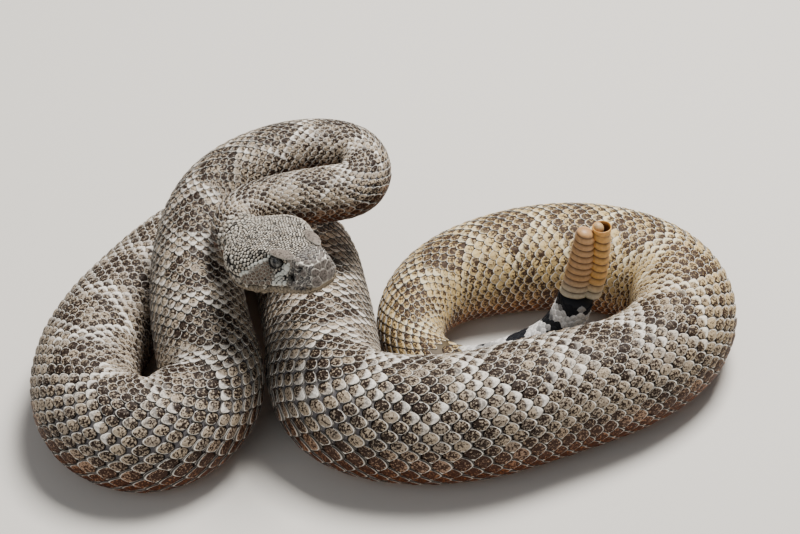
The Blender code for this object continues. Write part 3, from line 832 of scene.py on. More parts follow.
def skin_material(colours):
    """Bare skin between the scales: soft, grey where stretched, dark with painted shade in the
    narrow cracks elsewhere, marked.
    """
    material, tree, columns, (stain, crease) = new_material(
        "skin_between_scales", 0.6, 0.3, ("head_marks", "tail", "marks"), ("stain", "crease")
    )
    # Where the skin is not stretched it keeps the dark colour: painted shade in the narrow cracks
    # between close scales. The stain noise also darkens it at random with the same colour
    (_, _, snout, chin), (tail, open_skin, dim, head), (dark, white, flank, rear) = columns
    # On the low rows the skin takes the flank's painted shade colour
    body = paint(
        tree, colours.folded, (open_skin, 1, colours.between), (rear, 0.25, colours.rear_ground),
        (dark, 0.7, colours.blotch), (white, 0.35, colours.pale), (flank, 0.6, colours.flank),
        (stain, 0.5, colours.folded), (tail, 1, colours.tail_black),
    )
    # On the head the bare skin between the scales takes painted shade in the speck colour, except
    # on the snout and the chin
    face = paint(tree, colours.speck, (snout, 1, colours.crown_light), (chin, 1, colours.chin))
    # dim lays painted shade in the pits, nostrils and eye sockets
    surface(tree, paint(tree, body, (head, 1, face), (dim, 1, colours.hole)), crease, 0.5, 0.2)
    return material


def head_material(colours):
    """Small head scales and plates: thin matt keratin, grey-tan with dark pits of pigment."""
    material, tree, columns, (speckle, tooth) = new_material(
        "head_scale_keratin", 0.5, 0.25, ("head_marks", "form", "tail"), ("speckle", "tooth")
    )
    (cheek, pale, snout, chin), (rim, _, tip, chance), (_, _, dim, plate) = columns
    # gap lays painted shade on the edge of each small head scale and on its side towards the snout,
    # in the speck colour; odd adds scales that are dark at random
    odd, gap, root, specks = steps(
        tree, (chance, 0.74, 1.05), (rim, 0.1, 0.7), (tip, 0.4, 0.15), (speckle, 0.48, 0.6)
    )
    for other in (root, odd):
        gap = node(tree, "Math", (gap, other), operation="ADD", use_clamp=True)
    plain = node(tree, "Math", (1.0, plate), operation="SUBTRACT", use_clamp=True)
    gap = node(tree, "Math", (gap, plain), operation="MULTIPLY")
    plated = node(tree, "Math", (plate, 0.55), operation="MULTIPLY")
    seam = node(tree, "Math", (cheek, 0.8, plated), operation="MULTIPLY_ADD")
    seam = node(tree, "Math", (rim, seam), operation="MULTIPLY", use_clamp=True)
    # dim lays painted shade in the pits, nostrils and eye sockets
    whole = paint(
        tree, colours.crown, (chance, 1, colours.crown_light), (gap, 1, colours.speck),
        (snout, 0.75, colours.snout), (plate, 1, colours.plate), (cheek, 0.85, colours.cheek),
        (chin, 0.85, colours.chin), (specks, 0.7, colours.speck), (pale, 0.95, colours.stripe),
        (seam, 1, colours.crown_light), (dim, 1, colours.hole),
    )
    surface(tree, whole, tooth, 0.35, 0.1)
    return material


def belly_material(colours):
    """Belly scutes: smooth, slightly glossy keratin, cream to ochre with grey clouding."""
    material, tree, columns, (clouding,) = new_material(
        "belly_scute_keratin", 0.42, 0.45, ("form", "tail"), ("clouding",)
    )
    (rim, _, _, _), (tail, _, _, _) = columns
    (cloud,) = steps(tree, (clouding, 0.45, 0.7))
    # The scutes' rims take the rim colour: partly a pale edge, partly a painted highlight
    layers = (cloud, 0.4, colours.flank), (rim, 0.5, colours.rim), (tail, 0.75, colours.tail_black)
    surface(tree, paint(tree, colours.belly, *layers))
    return material


def eye_material(colours, side, skin):
    """Eye under its clear spectacle: wet and glossy, grey-brown iris, upright slit pupil."""
    material, tree, _, (fleck,) = new_material("eye_spectacle", 0.16, 0.3, (), ("fleck",))
    head = skin.head
    where = tree.nodes["Texture Coordinate"].outputs["Object"]
    centre = tuple(eye_place(skin, side) * MM)
    local = node(tree, "VectorMath", (where, centre), operation="SUBTRACT")
    outward = unit(head.left * side + 0.55 * head.forward + 0.1 * head.up)
    ahead = unit(head.forward - outward * (head.forward @ outward))
    x, y, z = (
        node(tree, "VectorMath", (local, tuple(axis)), "Value", operation="DOT_PRODUCT")
        for axis in np.array((ahead, np.cross(outward, ahead), outward)) / (EYE_RADIUS * MM)
    )
    x, y = (node(tree, "Math", pair, operation="DIVIDE") for pair in zip((x, y), PUPIL))
    x, y = (node(tree, "Math", (value, value), operation="MULTIPLY") for value in (x, y))
    slit = node(tree, "Math", (x, y), operation="ADD")
    pupil, lit, flecks = steps(tree, (slit, 1.25, 0.8), (z, 0.35, 0.95), (fleck, 0.35, 0.7))
    flecks = node(tree, "Math", (flecks, lit), operation="MULTIPLY")
    layers = (flecks, 1, colours.iris), (pupil, 1, colours.pupil)
    surface(tree, paint(tree, colours.iris_dark, *layers))
    shader = tree.nodes["Principled BSDF"]
    shader.inputs["Coat Weight"].default_value = 0.35
    shader.inputs["Coat Roughness"].default_value = 0.05
    return material


def horn_material(colours):
    """Rattle horn: dry hollow keratin, amber and satin, dark in the seams, flecked with age."""
    material, tree, columns, (streak, grain) = new_material(
        "rattle_horn", 0.42, 0.5, ("horn",), ("streak", "grain")
    )
    seam, height, lobe, _ = columns[0]
    (streaks,) = steps(tree, (streak, 0.35, 0.7))
    lobes = paint(tree, colours.horn, (lobe, 1, colours.horn_bright))
    layers = (height, 1, lobes), (streaks, 0.25, colours.horn_dark), (seam, 1, colours.horn_dark)
    surface(tree, paint(tree, colours.horn_base, *layers), grain, 0.3, 0.15)
    shader = tree.nodes["Principled BSDF"]
    shader.inputs["Subsurface Weight"].default_value = 0.15
    shader.inputs["Subsurface Radius"].default_value = (0.002, 0.001, 0.0005)
    shader.inputs["Subsurface Scale"].default_value = 1.0
    return material


def floor_material(colours):
    """Seamless studio paper: matt, pale, warm white."""
    material, tree, _, (tooth,) = new_material("studio_paper", 0.85, 0.2, (), ("paper",))
    surface(tree, paint(tree, colours.floor, (tooth, 0.06, colours.floor_shade)))
    return material


def skin_piece(skin, material):
    """The skin: dense rows on the head, wider ones on the body, closed at both ends."""
    fine = np.concatenate([np.arange(-SNOUT_CAP + 0.02, 0, 0.4), np.arange(0, BLEND_END, 0.5)])
    coarse = np.arange(BLEND_END, skin.rows[-1], 1.25)
    index = np.arange(0, 18.001, 0.3)
    half = np.interp(index, np.arange(19), SECTION_PLACES) / 2
    head_turns = np.concatenate([half, 1 - half[-2:0:-1]])
    count = len(head_turns)
    even = np.arange(count) / count
    verts, quads, tris, where = [], [], [], []
    start = 0
    for row in np.concatenate([fine, coarse]):
        share = ease(BLEND_START, BLEND_END - 1, row)
        turns = head_turns * (1 - share) + even * share if row < coarse[0] else even[::2]
        verts.append(skin.read(skin.places, np.full(len(turns), row), turns))
        where.append(np.column_stack([np.full(len(turns), row), turns]))
    for k in range(len(verts) - 1):
        here, there = len(verts[k]), len(verts[k + 1])
        low = start + here
        j = np.arange(there)
        after = (j + 1) % there
        if here == there:
            quads.append(np.stack([start + j, start + after, low + after, low + j], -1))
        else:
            odd, even_after = start + 2 * j + 1, start + (2 * j + 2) % here
            tris.append(np.stack([odd - 1, odd, low + j], -1))
            quads.append(np.stack([odd, even_after, low + after, low + j], -1))
        start = low
    points = np.concatenate(verts)
    where = np.concatenate(where)
    last = len(verts[-1])
    snout = len(points)
    points = np.concatenate([points, [verts[0].mean(axis=0)], [verts[-1].mean(axis=0)]])
    where = np.concatenate([where, [[-SNOUT_CAP, 0.25]], [[skin.rows[-1], 0.5]]])
    j = np.arange(count)
    tris.append(np.stack([(j + 1) % count, j, np.full(count, snout)], -1))
    j = np.arange(last)
    tris.append(np.stack([start + j, start + (j + 1) % last, np.full(last, snout + 1)], -1))
    piece = mesh_piece("skin", points, np.concatenate(quads), np.concatenate(tris), material)
    mesh = piece.data
    loops = np.zeros(len(mesh.loops), int)
    mesh.loops.foreach_get("vertex_index", loops)
    starts = np.zeros(len(mesh.polygons), int)
    mesh.polygons.foreach_get("loop_start", starts)
    layer = mesh.uv_layers.new(name="OFBake")
    layer.data.foreach_set("uv", unwrap(skin, *where[loops].T, starts).ravel())
    row, turn = where.T
    *marks, tail, _ = body_marks(skin, row, turn)
    *face_marks, recess_shading = head_marks(skin, points)
    open_skin = ease(0.95, 1.2, skin.read(skin.row_stretch, row, turn))
    head = 1 - ease(HEAD_LENGTH - 4, HEAD_LENGTH + 4, row)
    set_colour_attribute(piece, "marks", marks)
    set_colour_attribute(piece, "head_marks", face_marks)
    set_colour_attribute(piece, "tail", (tail, open_skin, recess_shading * head, head))
    return piece


def scale_lattice(skin, rows, first, last):
    """Offset rows of scales between two places on the body: row, turn and line of each scale."""
    half = (rows - 1) // 2
    found = []
    for line in range(-half, half + 1):
        counts = np.arange(math.ceil(skin.scales_to(first)), math.floor(skin.scales_to(last)))
        place = skin.row_of(counts + (0.5 if line % 2 else 0.0))
        turn = np.full(len(place), row_turn(line, rows))
        found.append(np.column_stack([place, turn, np.full(len(place), line)]))
    return np.concatenate(found).T


def dorsal_sets(skin, rows, first, last, sizes, seed):
    """Sizes of every keeled scale between two places on the body."""
    row, turn, line = scale_lattice(skin, rows, first, last)
    rng = np.random.default_rng(seed)
    n = len(row)
    half = (rows - 1) / 2
    count = skin.scales_to(row)
    length = skin.row_of(count + 0.5) - skin.row_of(count - 0.5)
    spacing = row_turn(np.abs(line) + 0.5, rows) - row_turn(np.abs(line) - 0.5, rows)
    stretch = np.clip(skin.read(skin.row_stretch, row, turn), 0.25, 1.6)
    girth = spacing * skin.read(skin.turn_stretch, row, turn)
    chance = rng.random(n)
    luck = rng.random(n)
    low = ease(0.5, 0.85, np.abs(line) / half)
    spread = ease(0.85, 1.15, stretch) * (1 - low)
    size = np.clip(np.minimum(length * stretch, girth * 1.6) / 8.6, 0.2, 1.1)
    own = length / np.clip(stretch, 0.6, 1.6) ** 0.5
    flat = np.clip(stretch, 0.3, 1)  # scales crowded in a bend rise less
    return {
        "row": row + 0.04 * length,
        "turn": (turn + 0.02 * spacing * (chance - 0.5)) % 1,
        "length": own * (1.2 + 0.14 * low - 0.14 * spread + 0.08 * (luck - 0.5)),
        "width": spacing * (1.55 + 0.05 * low - 0.2 * spread + 0.1 * (chance - 0.5)),
        "root": np.full(n, 0.05),
        "tip": sizes.lift * size * (0.5 + 0.5 * flat) * (1 + 0.5 * low) * (0.85 + 0.3 * luck),
        "keel": sizes.keel * size * flat * (1 - 0.6 * low),
        "dome": 0.3 * size,
        "point": 0.35 + 0.65 * low + 0.2 * (luck - 0.5),
        "blunt": 0.1 + 0 * low,
        "chance": chance,
        "luck": luck,
    }


def dorsal_scales(skin, material, sizes):
    """Keeled scales in rows from the nape to the rattle, free tips towards the tail."""
    plate = Plate((0, 0.12, 0.35, 0.6, 0.86, 1), (-1, -0.78, -0.4, -0.13, 0, 0.13, 0.4, 0.78, 1))
    tail_start = skin.rows[-1] - TAIL_LENGTH
    body = dorsal_sets(skin, DORSAL_ROWS, HEAD_LENGTH - 1, tail_start, sizes, SEEDS["body"])
    tail = dorsal_sets(skin, TAIL_ROWS, tail_start, skin.rows[-1] - 1.0, sizes, SEEDS["tail"])
    rear_start = skin.row_named("right front")
    regions = [
        ("front", "skin_front", body, body["row"] < rear_start),
        ("rear", "skin_rear", body, body["row"] >= rear_start),
        ("tail", "tail_bands", tail, tail["row"] > 0),
    ]
    pieces = []
    for region, slot, sets, inside in regions:
        order = np.flatnonzero(inside)
        order = order[np.argsort(sets["row"][order], kind="stable")]
        parts = math.ceil(len(order) * plate.triangles / PIECE_LIMIT)
        for k, chosen in enumerate(np.array_split(order, parts)):
            part = {key: value[chosen] for key, value in sets.items()}
            name = f"dorsal_scales_{region}_{k + 1}"
            pieces.append((spread_plates(skin, plate, name, material, part), slot))
    return pieces


def belly_scutes(skin, material):
    """One wide scute across the belly for each scale length, free edge towards the tail."""
    plate = Plate((0, 0.3, 0.7, 0.92, 1), np.linspace(-1, 1, 19))
    first = math.ceil(skin.scales_to(HEAD_LENGTH - 2))
    last = math.floor(skin.scales_to(skin.rows[-1] - 2.0))
    count = np.arange(first, last) + 0.25
    row = skin.row_of(count)
    n = len(row)
    chance = np.random.default_rng(SEEDS["belly"]).random(n)
    sets = {
        "row": row,
        "turn": np.full(n, 0.5),
        "length": (skin.row_of(count + 0.5) - skin.row_of(count - 0.5)) * 1.25,
        "width": np.full(n, 2 * (0.5 - DORSAL_REACH) - 0.012),
        "root": 0.05,
        "tip": 0.45,
        "keel": 0.0,
        "dome": 0.05,
        "point": 0.0,
        "blunt": 0.9,
        "chance": chance,
        "luck": chance,
    }
    return spread_plates(skin, plate, "belly_scutes", material, sets)


def nearest_place(skin, x, side, turns, axis, value):
    """Row and share of a turn where one measure of the head is nearest a value."""
    row = HEAD_LENGTH - x
    local = skin.head.measure(skin.read(skin.places, np.full(len(turns), row), turns))
    best = turns[np.abs(local[:, axis] - value).argmin()]
    return row, best if side > 0 else (1 - best) % 1


def side_place(skin, x, z, side):
    """Row and share of a turn of the head's side at a distance forward and a height."""
    return nearest_place(skin, x, side, np.linspace(0.07, 0.46, 500), 2, z)


def top_place(skin, x, y, side):
    """Row and share of a turn of the crown at a distance forward and sideways of the middle."""
    return nearest_place(skin, x, side, np.linspace(0, 0.17, 300), 1, y)


class HeadCells:
    """Scales of the head. Each one fills the space between its neighbours, as pavement does."""

    # Columns of the table: row, turn, half length, half width, angle, height and kind. The kind is
    # 0 for a small scale, more for a plate, and -1 for an opening, which no scale covers
    SPOKES = 16

    def __init__(self, skin):
        self.skin = skin
        self.fixed = []
        self.flat = []
        self.add_side_plates()
        self.add_top_plates()
        self.add_rings()
        self.add_front_plates()
        granules = self.scatter()
        self.table = np.array(self.fixed + granules, float)
        self.fixed_count = len(self.fixed)
        self.settle()
        self.measure_cells()

    def add(self, place, a, b, angle=0.0, height=0.3, plate=0.0):
        """Adds one scale that stays where it is."""
        self.fixed.append((place[0], place[1], a, b, math.radians(angle), height, plate))

    def add_side_plates(self):
        """Lip scales in two rows, and the plates of the snout's side."""
        for side in (1, -1):
            x = 49.8
            while x > MOUTH_CORNER + 1.5:
                half = float(np.interp(x, (12, 30, 50), (1.55, 1.35, 1.2)))
                mouth = float(np.interp(x, HEAD_STATIONS[:, 0], HEAD_STATIONS[:, -1]))
                for at, up, width in ((x, mouth + 2.0, 1.15), (x - half, mouth - 2.2, 1.3)):
                    self.add(side_place(self.skin, at, up, side), half, width, 0, 0.4, 0.2)
                x -= 2 * half * 0.97
            for x, z, a, b, angle, height in SIDE_PLATES:
                self.add(side_place(self.skin, x, z, side), a, b, angle * side, height, 0.6)

    def add_top_plates(self):
        """Plates of the snout's top."""
        for side in (1, -1):
            for x, y, a, b, angle in TOP_PLATES:
                self.add(top_place(self.skin, x, y, side), a, b, angle * side, 0.35, 0.6)

    def add_rings(self):
        """Small scales round each eye and each heat pit."""
        for side in (1, -1):
            for centre, size in ((EYE_SEAT, 3.1), (PIT_CENTRE, 1.7), (NOSTRIL_CENTRE, 1.4)):
                self.add(side_place(self.skin, centre[0], centre[2], side), size, size, 0, 0, -1)
            for centre, radius, count in ((EYE_SEAT, 3.7, 17), (PIT_CENTRE, 2.3, 9)):
                for turn in 2 * math.pi * np.arange(count) / count:
                    x = centre[0] + radius * math.cos(turn)
                    z = centre[2] + radius * math.sin(turn)
                    if z < 8.2:
                        self.add(side_place(self.skin, x, z, side), 0.62, 0.62, 0, 0.3)

    def add_front_plates(self):
        """Plates on the snout's blunt face, set on a plane."""
        for y, z, a, b in FRONT_PLATES:
            for side in (1, -1) if y else (1,):
                self.flat.append((y * side, z, a, b))

    def scatter(self):
        """Small scales in broken offset rows, larger towards the nape, cheeks and throat."""
        rng = np.random.default_rng(SEEDS["head"])
        found = []
        x = 50.5
        k = 0
        while x > -4:
            row = HEAD_LENGTH - x
            fine = np.linspace(0, 0.5, 500)
            mm = self.skin.read(self.skin.turn_stretch, np.full(500, row), fine)
            arc = np.concatenate([[0], np.cumsum((mm[1:] + mm[:-1]) / 2 * np.diff(fine))])
            size = self.granule_size(row, fine)
            step = np.cumsum(np.diff(arc, prepend=0) / (2 * size * 0.98))
            turns = np.interp(np.arange(0.25 + 0.5 * (k % 2), step[-1], 1.0), step, fine)
            for side in (1, -1):
                for turn in turns:
                    half = float(self.granule_size(row, turn))
                    half *= rng.uniform(0.86, 1.14)
                    where = row + rng.normal(0, 0.4 * half)
                    here = turn + rng.normal(0, 0.4) * half / 60
                    here = here if side > 0 else (1 - here) % 1
                    found.append((where, here, half, half, 0.0, 0.3, 0.0))
            x -= 2 * 0.88 * float(self.granule_size(row, 0.05))
            k += 1
        table = np.array(found)
        local = self.skin.head.measure(self.skin.read(self.skin.places, table[:, 0], table[:, 1]))
        local[:, 1] = np.abs(local[:, 1])
        keep = np.linalg.norm(local - EYE_SEAT, axis=1) > 3.9
        keep &= np.linalg.norm(local - PIT_CENTRE, axis=1) > 2.5
        return [tuple(line) for line in table[keep]]

    @staticmethod
    def granule_size(row, turn):
        """Half the width of a small scale."""
        x = HEAD_LENGTH - row
        turn = np.minimum(turn, 1 - np.asarray(turn))
        crown = np.interp(x, (-4, 4, 12, 38, 44, 50), (1.25, 1.0, 0.68, 0.62, 0.85, 1.0))
        side = np.interp(x, (-4, 8, 30, 45), (1.35, 1.25, 1.05, 0.9))
        low = np.interp(x, (0, 45), (1.7, 1.3))
        upper = crown + (side - crown) * ease(0.13, 0.19, turn)
        return upper + (low - side) * ease(0.26, 0.34, turn)

    def frames(self):
        """Place, directions and normal of each scale, and its millimetres per row and turn."""
        row, turn = self.table[:, 0], self.table[:, 1]
        step = 0.4
        read, places = self.skin.read, self.skin.places
        ahead = read(places, row + step, turn) - read(places, row - step, turn)
        beside = read(places, row, turn + 0.004) - read(places, row, turn - 0.004)
        e1 = unit(ahead)
        normal = unit(np.cross(beside, ahead))
        e2 = np.cross(e1, normal)
        row_mm = np.maximum(np.linalg.norm(ahead, axis=1) / (2 * step), 0.3)
        turn_mm = np.maximum(np.linalg.norm(beside, axis=1) / 0.008, 8)
        return read(places, row, turn), e1, e2, normal, row_mm, turn_mm

    @staticmethod
    def reach(a, b, angle, x, y):
        """Radius of an ellipse towards x, y."""
        c, s = np.cos(angle), np.sin(angle)
        along, across = x * c + y * s, y * c - x * s
        size = np.hypot(along, across) + 1e-9
        with np.errstate(divide="ignore"):  # a scale set against itself, which no one reads
            return a * b / np.hypot(b * along / size, a * across / size)

    def settle(self):
        """Moves the small scales apart until they lie evenly, then drops those left too close."""
        for _ in range(14):
            place, e1, e2, _, row_mm, turn_mm = self.frames()
            gap = place[:, None] - place[None]
            away = np.linalg.norm(gap, axis=-1) + 1e-6
            a, b, angle = self.table[:, 2], self.table[:, 3], self.table[:, 4]
            x = np.einsum("ijk,jk->ij", gap, e1)
            y = np.einsum("ijk,jk->ij", gap, e2)
            other = self.reach(a[None], b[None], angle[None], x, y)
            wish = (other + a[:, None]) * 1.04
            push = np.maximum(wish - away, 0) / away * 0.32
            np.fill_diagonal(push, 0)
            move = (gap * push[..., None]).sum(axis=1)
            move[: self.fixed_count] = 0
            size = np.linalg.norm(move, axis=1, keepdims=True) + 1e-9
            move = move / size * np.minimum(size, 0.5)
            self.table[:, 0] += (move * e1).sum(1) / row_mm
            self.table[:, 1] = (self.table[:, 1] + (move * e2).sum(1) / turn_mm) % 1
        close = (away < 0.62 * (other + a[:, None])) & ~np.eye(len(a), dtype=bool)
        lower = np.tril(close, -1).any(axis=1)
        local = self.skin.head.measure(place)
        local[:, 1] = np.abs(local[:, 1])
        lost = lower | (np.linalg.norm(local - EYE_SEAT, axis=1) < 3.2) | (self.table[:, 0] < 0.6)
        lost[: self.fixed_count] = False
        self.table = self.table[~lost]

    def measure_cells(self):
        """Distance from each scale's middle to its edge, along evenly turned spokes."""
        place, e1, e2, normal, row_mm, turn_mm = self.frames()
        face = self.skin.head
        flat = np.array(self.flat)
        count = len(flat)
        middle = np.sqrt(np.maximum(1 - (flat[:, 0] ** 2 + flat[:, 1] ** 2) / 40, 0))
        x = HEAD_LENGTH + SNOUT_BULGE * middle
        place = np.concatenate([place, face.place(np.column_stack([x - 0.15, flat[:, :2]]))])
        lean = unit(face.forward[None] + 0.05 * flat[:, :1] * face.left[None])
        normal = np.concatenate([normal, lean])
        level = unit(np.cross(np.tile(face.up, (count, 1)), lean))
        e1 = np.concatenate([e1, level])
        e2 = np.concatenate([e2, np.cross(level, lean)])
        row_mm = np.concatenate([row_mm, np.ones(count)])
        turn_mm = np.concatenate([turn_mm, np.ones(count)])
        extra = [(-1, 0, a, b, 0, 0.35, 0.6) for _, _, a, b in self.flat]
        self.table = np.concatenate([self.table, extra])
        self.planar = np.arange(len(place)) >= len(place) - count
        a, b, angle = self.table[:, 2], self.table[:, 3], self.table[:, 4]
        gap = place[None] - place[:, None]
        away = np.linalg.norm(gap, axis=-1)
        np.fill_diagonal(away, 99)
        near_ones = np.argsort(away, axis=1)[:, :14]
        i = np.arange(len(a))[:, None]
        gap = gap[i, near_ones]
        away = away[i, near_ones]
        x = (gap * e1[:, None]).sum(-1)
        y = (gap * e2[:, None]).sum(-1)
        own = self.reach(a[:, None], b[:, None], angle[:, None], x, y)
        j = near_ones
        back_x = -(gap * e1[j]).sum(-1)
        back_y = -(gap * e2[j]).sum(-1)
        other = self.reach(a[j], b[j], angle[j], back_x, back_y)
        edge = away * own / (own + other)
        theta = 2 * math.pi * (np.arange(self.SPOKES) + 0.5) / self.SPOKES
        toward = np.cos(theta[None, None] - np.arctan2(y, x)[..., None])
        bound = edge[..., None] / np.maximum(toward, 0.12)
        room = np.where(self.planar, 1.6, 1.22)[:, None]
        towards = np.cos(theta)[None], np.sin(theta)[None]
        cap = room * self.reach(a[:, None], b[:, None], angle[:, None], *towards)
        soft = ((bound**-8.0).sum(axis=1) + cap**-8.0) ** (-1 / 8)
        self.radius = np.maximum(soft * np.where(self.planar, 1.14, 0.985)[:, None] - 0.045, 0.15)
        self.theta = theta
        self.place, self.e1, self.e2, self.normal = place, e1, e2, normal
        self.row_mm, self.turn_mm = row_mm, turn_mm


def cell_piece(skin, cells, chosen, name, material, seed):
    """One piece of pavement scales: a low dome, a rounded edge, a wall and a flat underside."""
    rng = np.random.default_rng(seed)
    spokes = cells.SPOKES
    n = len(chosen)
    share = np.array([0.42, 0.78, 0.95, 1.0, 1.01])
    table = cells.table[chosen]
    radius = cells.radius[chosen]
    theta = cells.theta
    reach = radius[:, None] * share[None, :, None]
    p = (reach * np.cos(theta)).reshape(n, -1)
    q = (reach * np.sin(theta)).reshape(n, -1)
    p = np.concatenate([p, np.zeros((n, 2))], axis=1)
    q = np.concatenate([q, np.zeros((n, 2))], axis=1)
    rho = np.concatenate([np.repeat(share, spokes), [0.0, 0.0]])
    toward_tail = np.concatenate([(share[:, None] * np.cos(theta)).ravel(), [0.0, 0.0]])
    count = len(rho)
    under = np.arange(count) >= (len(share) - 1) * spokes
    under[-2] = False
    size = radius.mean(axis=1)[:, None]
    small = table[:, 6:7] < 0.1
    dome = np.where(small, 0.34, 0.14) * np.minimum(size, 1.3)
    tilt = np.where(small, 0.2, 0.05) * np.minimum(size, 1.3)
    height = table[:, 5:6] + dome * (1 - rho[None] ** 2) + tilt * toward_tail[None]
    height = height - np.where(rho > 0.96, 0.1, 0)[None]
    height = np.where(under[None], -CELL_UNDER, height)
    row = table[:, :1] + p / cells.row_mm[chosen][:, None]
    turn = table[:, 1:2] + q / cells.turn_mm[chosen][:, None]
    base = skin.read(skin.places, row, turn)
    normal = skin.read(skin.normals, row, turn)
    plane = cells.place[chosen][:, None] + cells.e1[chosen][:, None] * p[..., None]
    plane = plane + cells.e2[chosen][:, None] * q[..., None]
    is_flat = cells.planar[chosen][:, None, None]
    base = np.where(is_flat, plane, base)
    normal = np.where(is_flat, cells.normal[chosen][:, None], unit(normal))
    verts = base + normal * height[..., None]
    quads, tris = ring_faces(len(share), spokes)
    start = (np.arange(n) * count)[:, None, None]
    quads = (quads[None, :, [0, 3, 2, 1]] + start).reshape(-1, 4)
    tris = (tris[None, :, [0, 2, 1]] + start).reshape(-1, 3)
    piece = mesh_piece(name, verts, quads, tris, material)
    root = unwrap(skin, table[:, 0], table[:, 1])[:, None]
    patch = root + np.stack([p, q], -1) / (2 * size[..., None]) * BAKE_PATCH
    set_bake_map(piece, patch.reshape(-1, 2))
    rim = np.where(under, 0.0, ease(0.78, 1.0, rho))
    tip = np.where(under, 0.0, 0.5 + 0.5 * toward_tail)
    marks = [mark[:, None] for mark in head_marks(skin, cells.place[chosen])[:4]]
    recess_shading = head_marks(skin, base)[4]
    set_colour_attribute(piece, "form", (rim, 0.0, tip, rng.random((n, 1))), (n, count))
    set_colour_attribute(piece, "head_marks", marks, (n, count))
    set_colour_attribute(piece, "tail", (0.0, 0.0, recess_shading, table[:, 6:7]), (n, count))
    return piece


def head_scales(skin, material):
    """The plates in one piece and the small scales in two."""
    cells = HeadCells(skin)
    order = np.arange(len(cells.table))
    plates = order[cells.table[:, 6] > 0.1]
    granules = order[np.abs(cells.table[:, 6]) <= 0.1]
    half = len(granules) // 2
    return [
        cell_piece(skin, cells, plates, "head_plates", material, SEEDS["plates"]),
        cell_piece(skin, cells, granules[:half], "head_granules_1", material, SEEDS["granules"][0]),
        cell_piece(skin, cells, granules[half:], "head_granules_2", material, SEEDS["granules"][1]),
    ]


def brow_plates(skin, material):
    """The long plate over each eye, with a sharp outer edge that shades it."""
    verts, quads, tris, where, rims = [], [], [], [], []
    spokes, share = 64, np.array([0.25, 0.5, 0.72, 0.88, 0.97, 1.0, 0.99, 0.93])
    lift = np.array([0.5, 0.46, 0.4, 0.33, 0.22, 0.02, -0.25, -0.5])
    theta = 2 * math.pi * np.arange(spokes) / spokes
    for side in (1, -1):
        x = (share[:, None] * BROW_HALF[0] * np.cos(theta)).ravel()
        width = np.where(np.sin(theta) > 0, BROW_HALF[1], BROW_HALF[2])
        y = (share[:, None] * width * signed_power(np.sin(theta), 1.25)).ravel()
        z = np.repeat(lift, spokes) - 0.012 * x * x - 0.03 * y * y
        points = np.column_stack([x, y, z])
        points = np.concatenate([points, [(0, 0, 0.52), (0, 0, -0.5)]])
        yaw, roll, pitch = (math.radians(turn) for turn in BROW_TURNS)
        for turn, first, second in ((pitch, 2, 0), (roll, 2, 1), (yaw, 1, 0)):
            matrix = np.eye(3)
            matrix[first, first] = matrix[second, second] = math.cos(turn)
            matrix[first, second], matrix[second, first] = math.sin(turn), -math.sin(turn)
            points = points @ matrix
        points = (points + BROW_CENTRE) * (1, side, 1)
        faces, caps = ring_faces(len(share), spokes)
        if side < 0:
            faces, caps = faces[:, ::-1], caps[:, ::-1]
        start = sum(len(part) for part in verts)
        verts.append(skin.head.place(points))
        quads.append(faces + start)
        tris.append(caps + start)
        root = unwrap(skin, *top_place(skin, BROW_CENTRE[0], 7.5, side))
        where.append(root + (points[:, :2] - (BROW_CENTRE[0], BROW_CENTRE[1] * side)) * 0.0012)
        rims.append(np.concatenate([np.repeat(ease(0.9, 1.0, share) * 0.8, spokes), [0, 0]]))
    verts, quads, tris = (np.concatenate(parts) for parts in (verts, quads, tris))
    piece = mesh_piece("brow_plates", verts, quads, tris, material)
    set_bake_map(piece, np.concatenate(where))
    rim = np.concatenate(rims)
    set_colour_attribute(piece, "head_marks", (0, 0, 0, 0), rim.shape)
    set_colour_attribute(piece, "tail", (0, 0, 0, 0.75), rim.shape)
    set_colour_attribute(piece, "form", (rim, 0, 0.6, 0.3), rim.shape)
    return piece


def eye_place(skin, side):
    """The middle of an eye, in millimetres."""
    return skin.head.place((EYE_SEAT[0], EYE_SEAT[1] * side, EYE_SEAT[2]))


def eyes(skin, colours):
    """Both eyes, each a ball turned a little forward."""
    pieces = []
    for name, side in (("left_eye", 1), ("right_eye", -1)):
        clear_selection()
        place = eye_place(skin, side) * MM
        bpy.ops.mesh.primitive_uv_sphere_add(
            segments=64, ring_count=40, radius=EYE_RADIUS * MM, location=place
        )
        piece = bpy.context.object
        piece.name = name
        piece.data.name = name
        bpy.ops.object.shade_smooth()
        bpy.ops.object.transform_apply(location=True, rotation=True, scale=True)
        piece.data.materials.append(eye_material(colours, side, skin))
        pieces.append(piece)
    return pieces


RATTLE_SIDES = 72
RATTLE_SHIFT = 1.5  # the rattle's middle to the right of the tail's
RATTLE_CURVE = 0.0023  # how it bends back upright, per millimetre
# Height, then the middle and half width of the left and right lobes and their half thickness
LOBES = np.array([
    (0.0, -3.0, 6.4, 4.9, 4.5, 4.6),
    (15.0, -3.2, 5.9, 4.9, 4.4, 4.7),
    (30.0, -3.5, 4.6, 4.0, 4.2, 4.3),
    (40.0, -3.6, 3.8, 3.5, 4.0, 3.9),
])
# Rings of one bead: share of its height, size, and how deep in a seam
BEAD = (
    (0.0, 0.84, 1.0), (0.06, 0.88, 0.9), (0.16, 0.97, 0.3), (0.34, 1.03, 0.0),
    (0.6, 1.02, 0.0), (0.8, 0.97, 0.1), (0.93, 0.9, 0.5),
)
LEFT_BEADS = (10, 3.4)  # how many, and the height of each
RIGHT_BEADS = (9, 3.95)
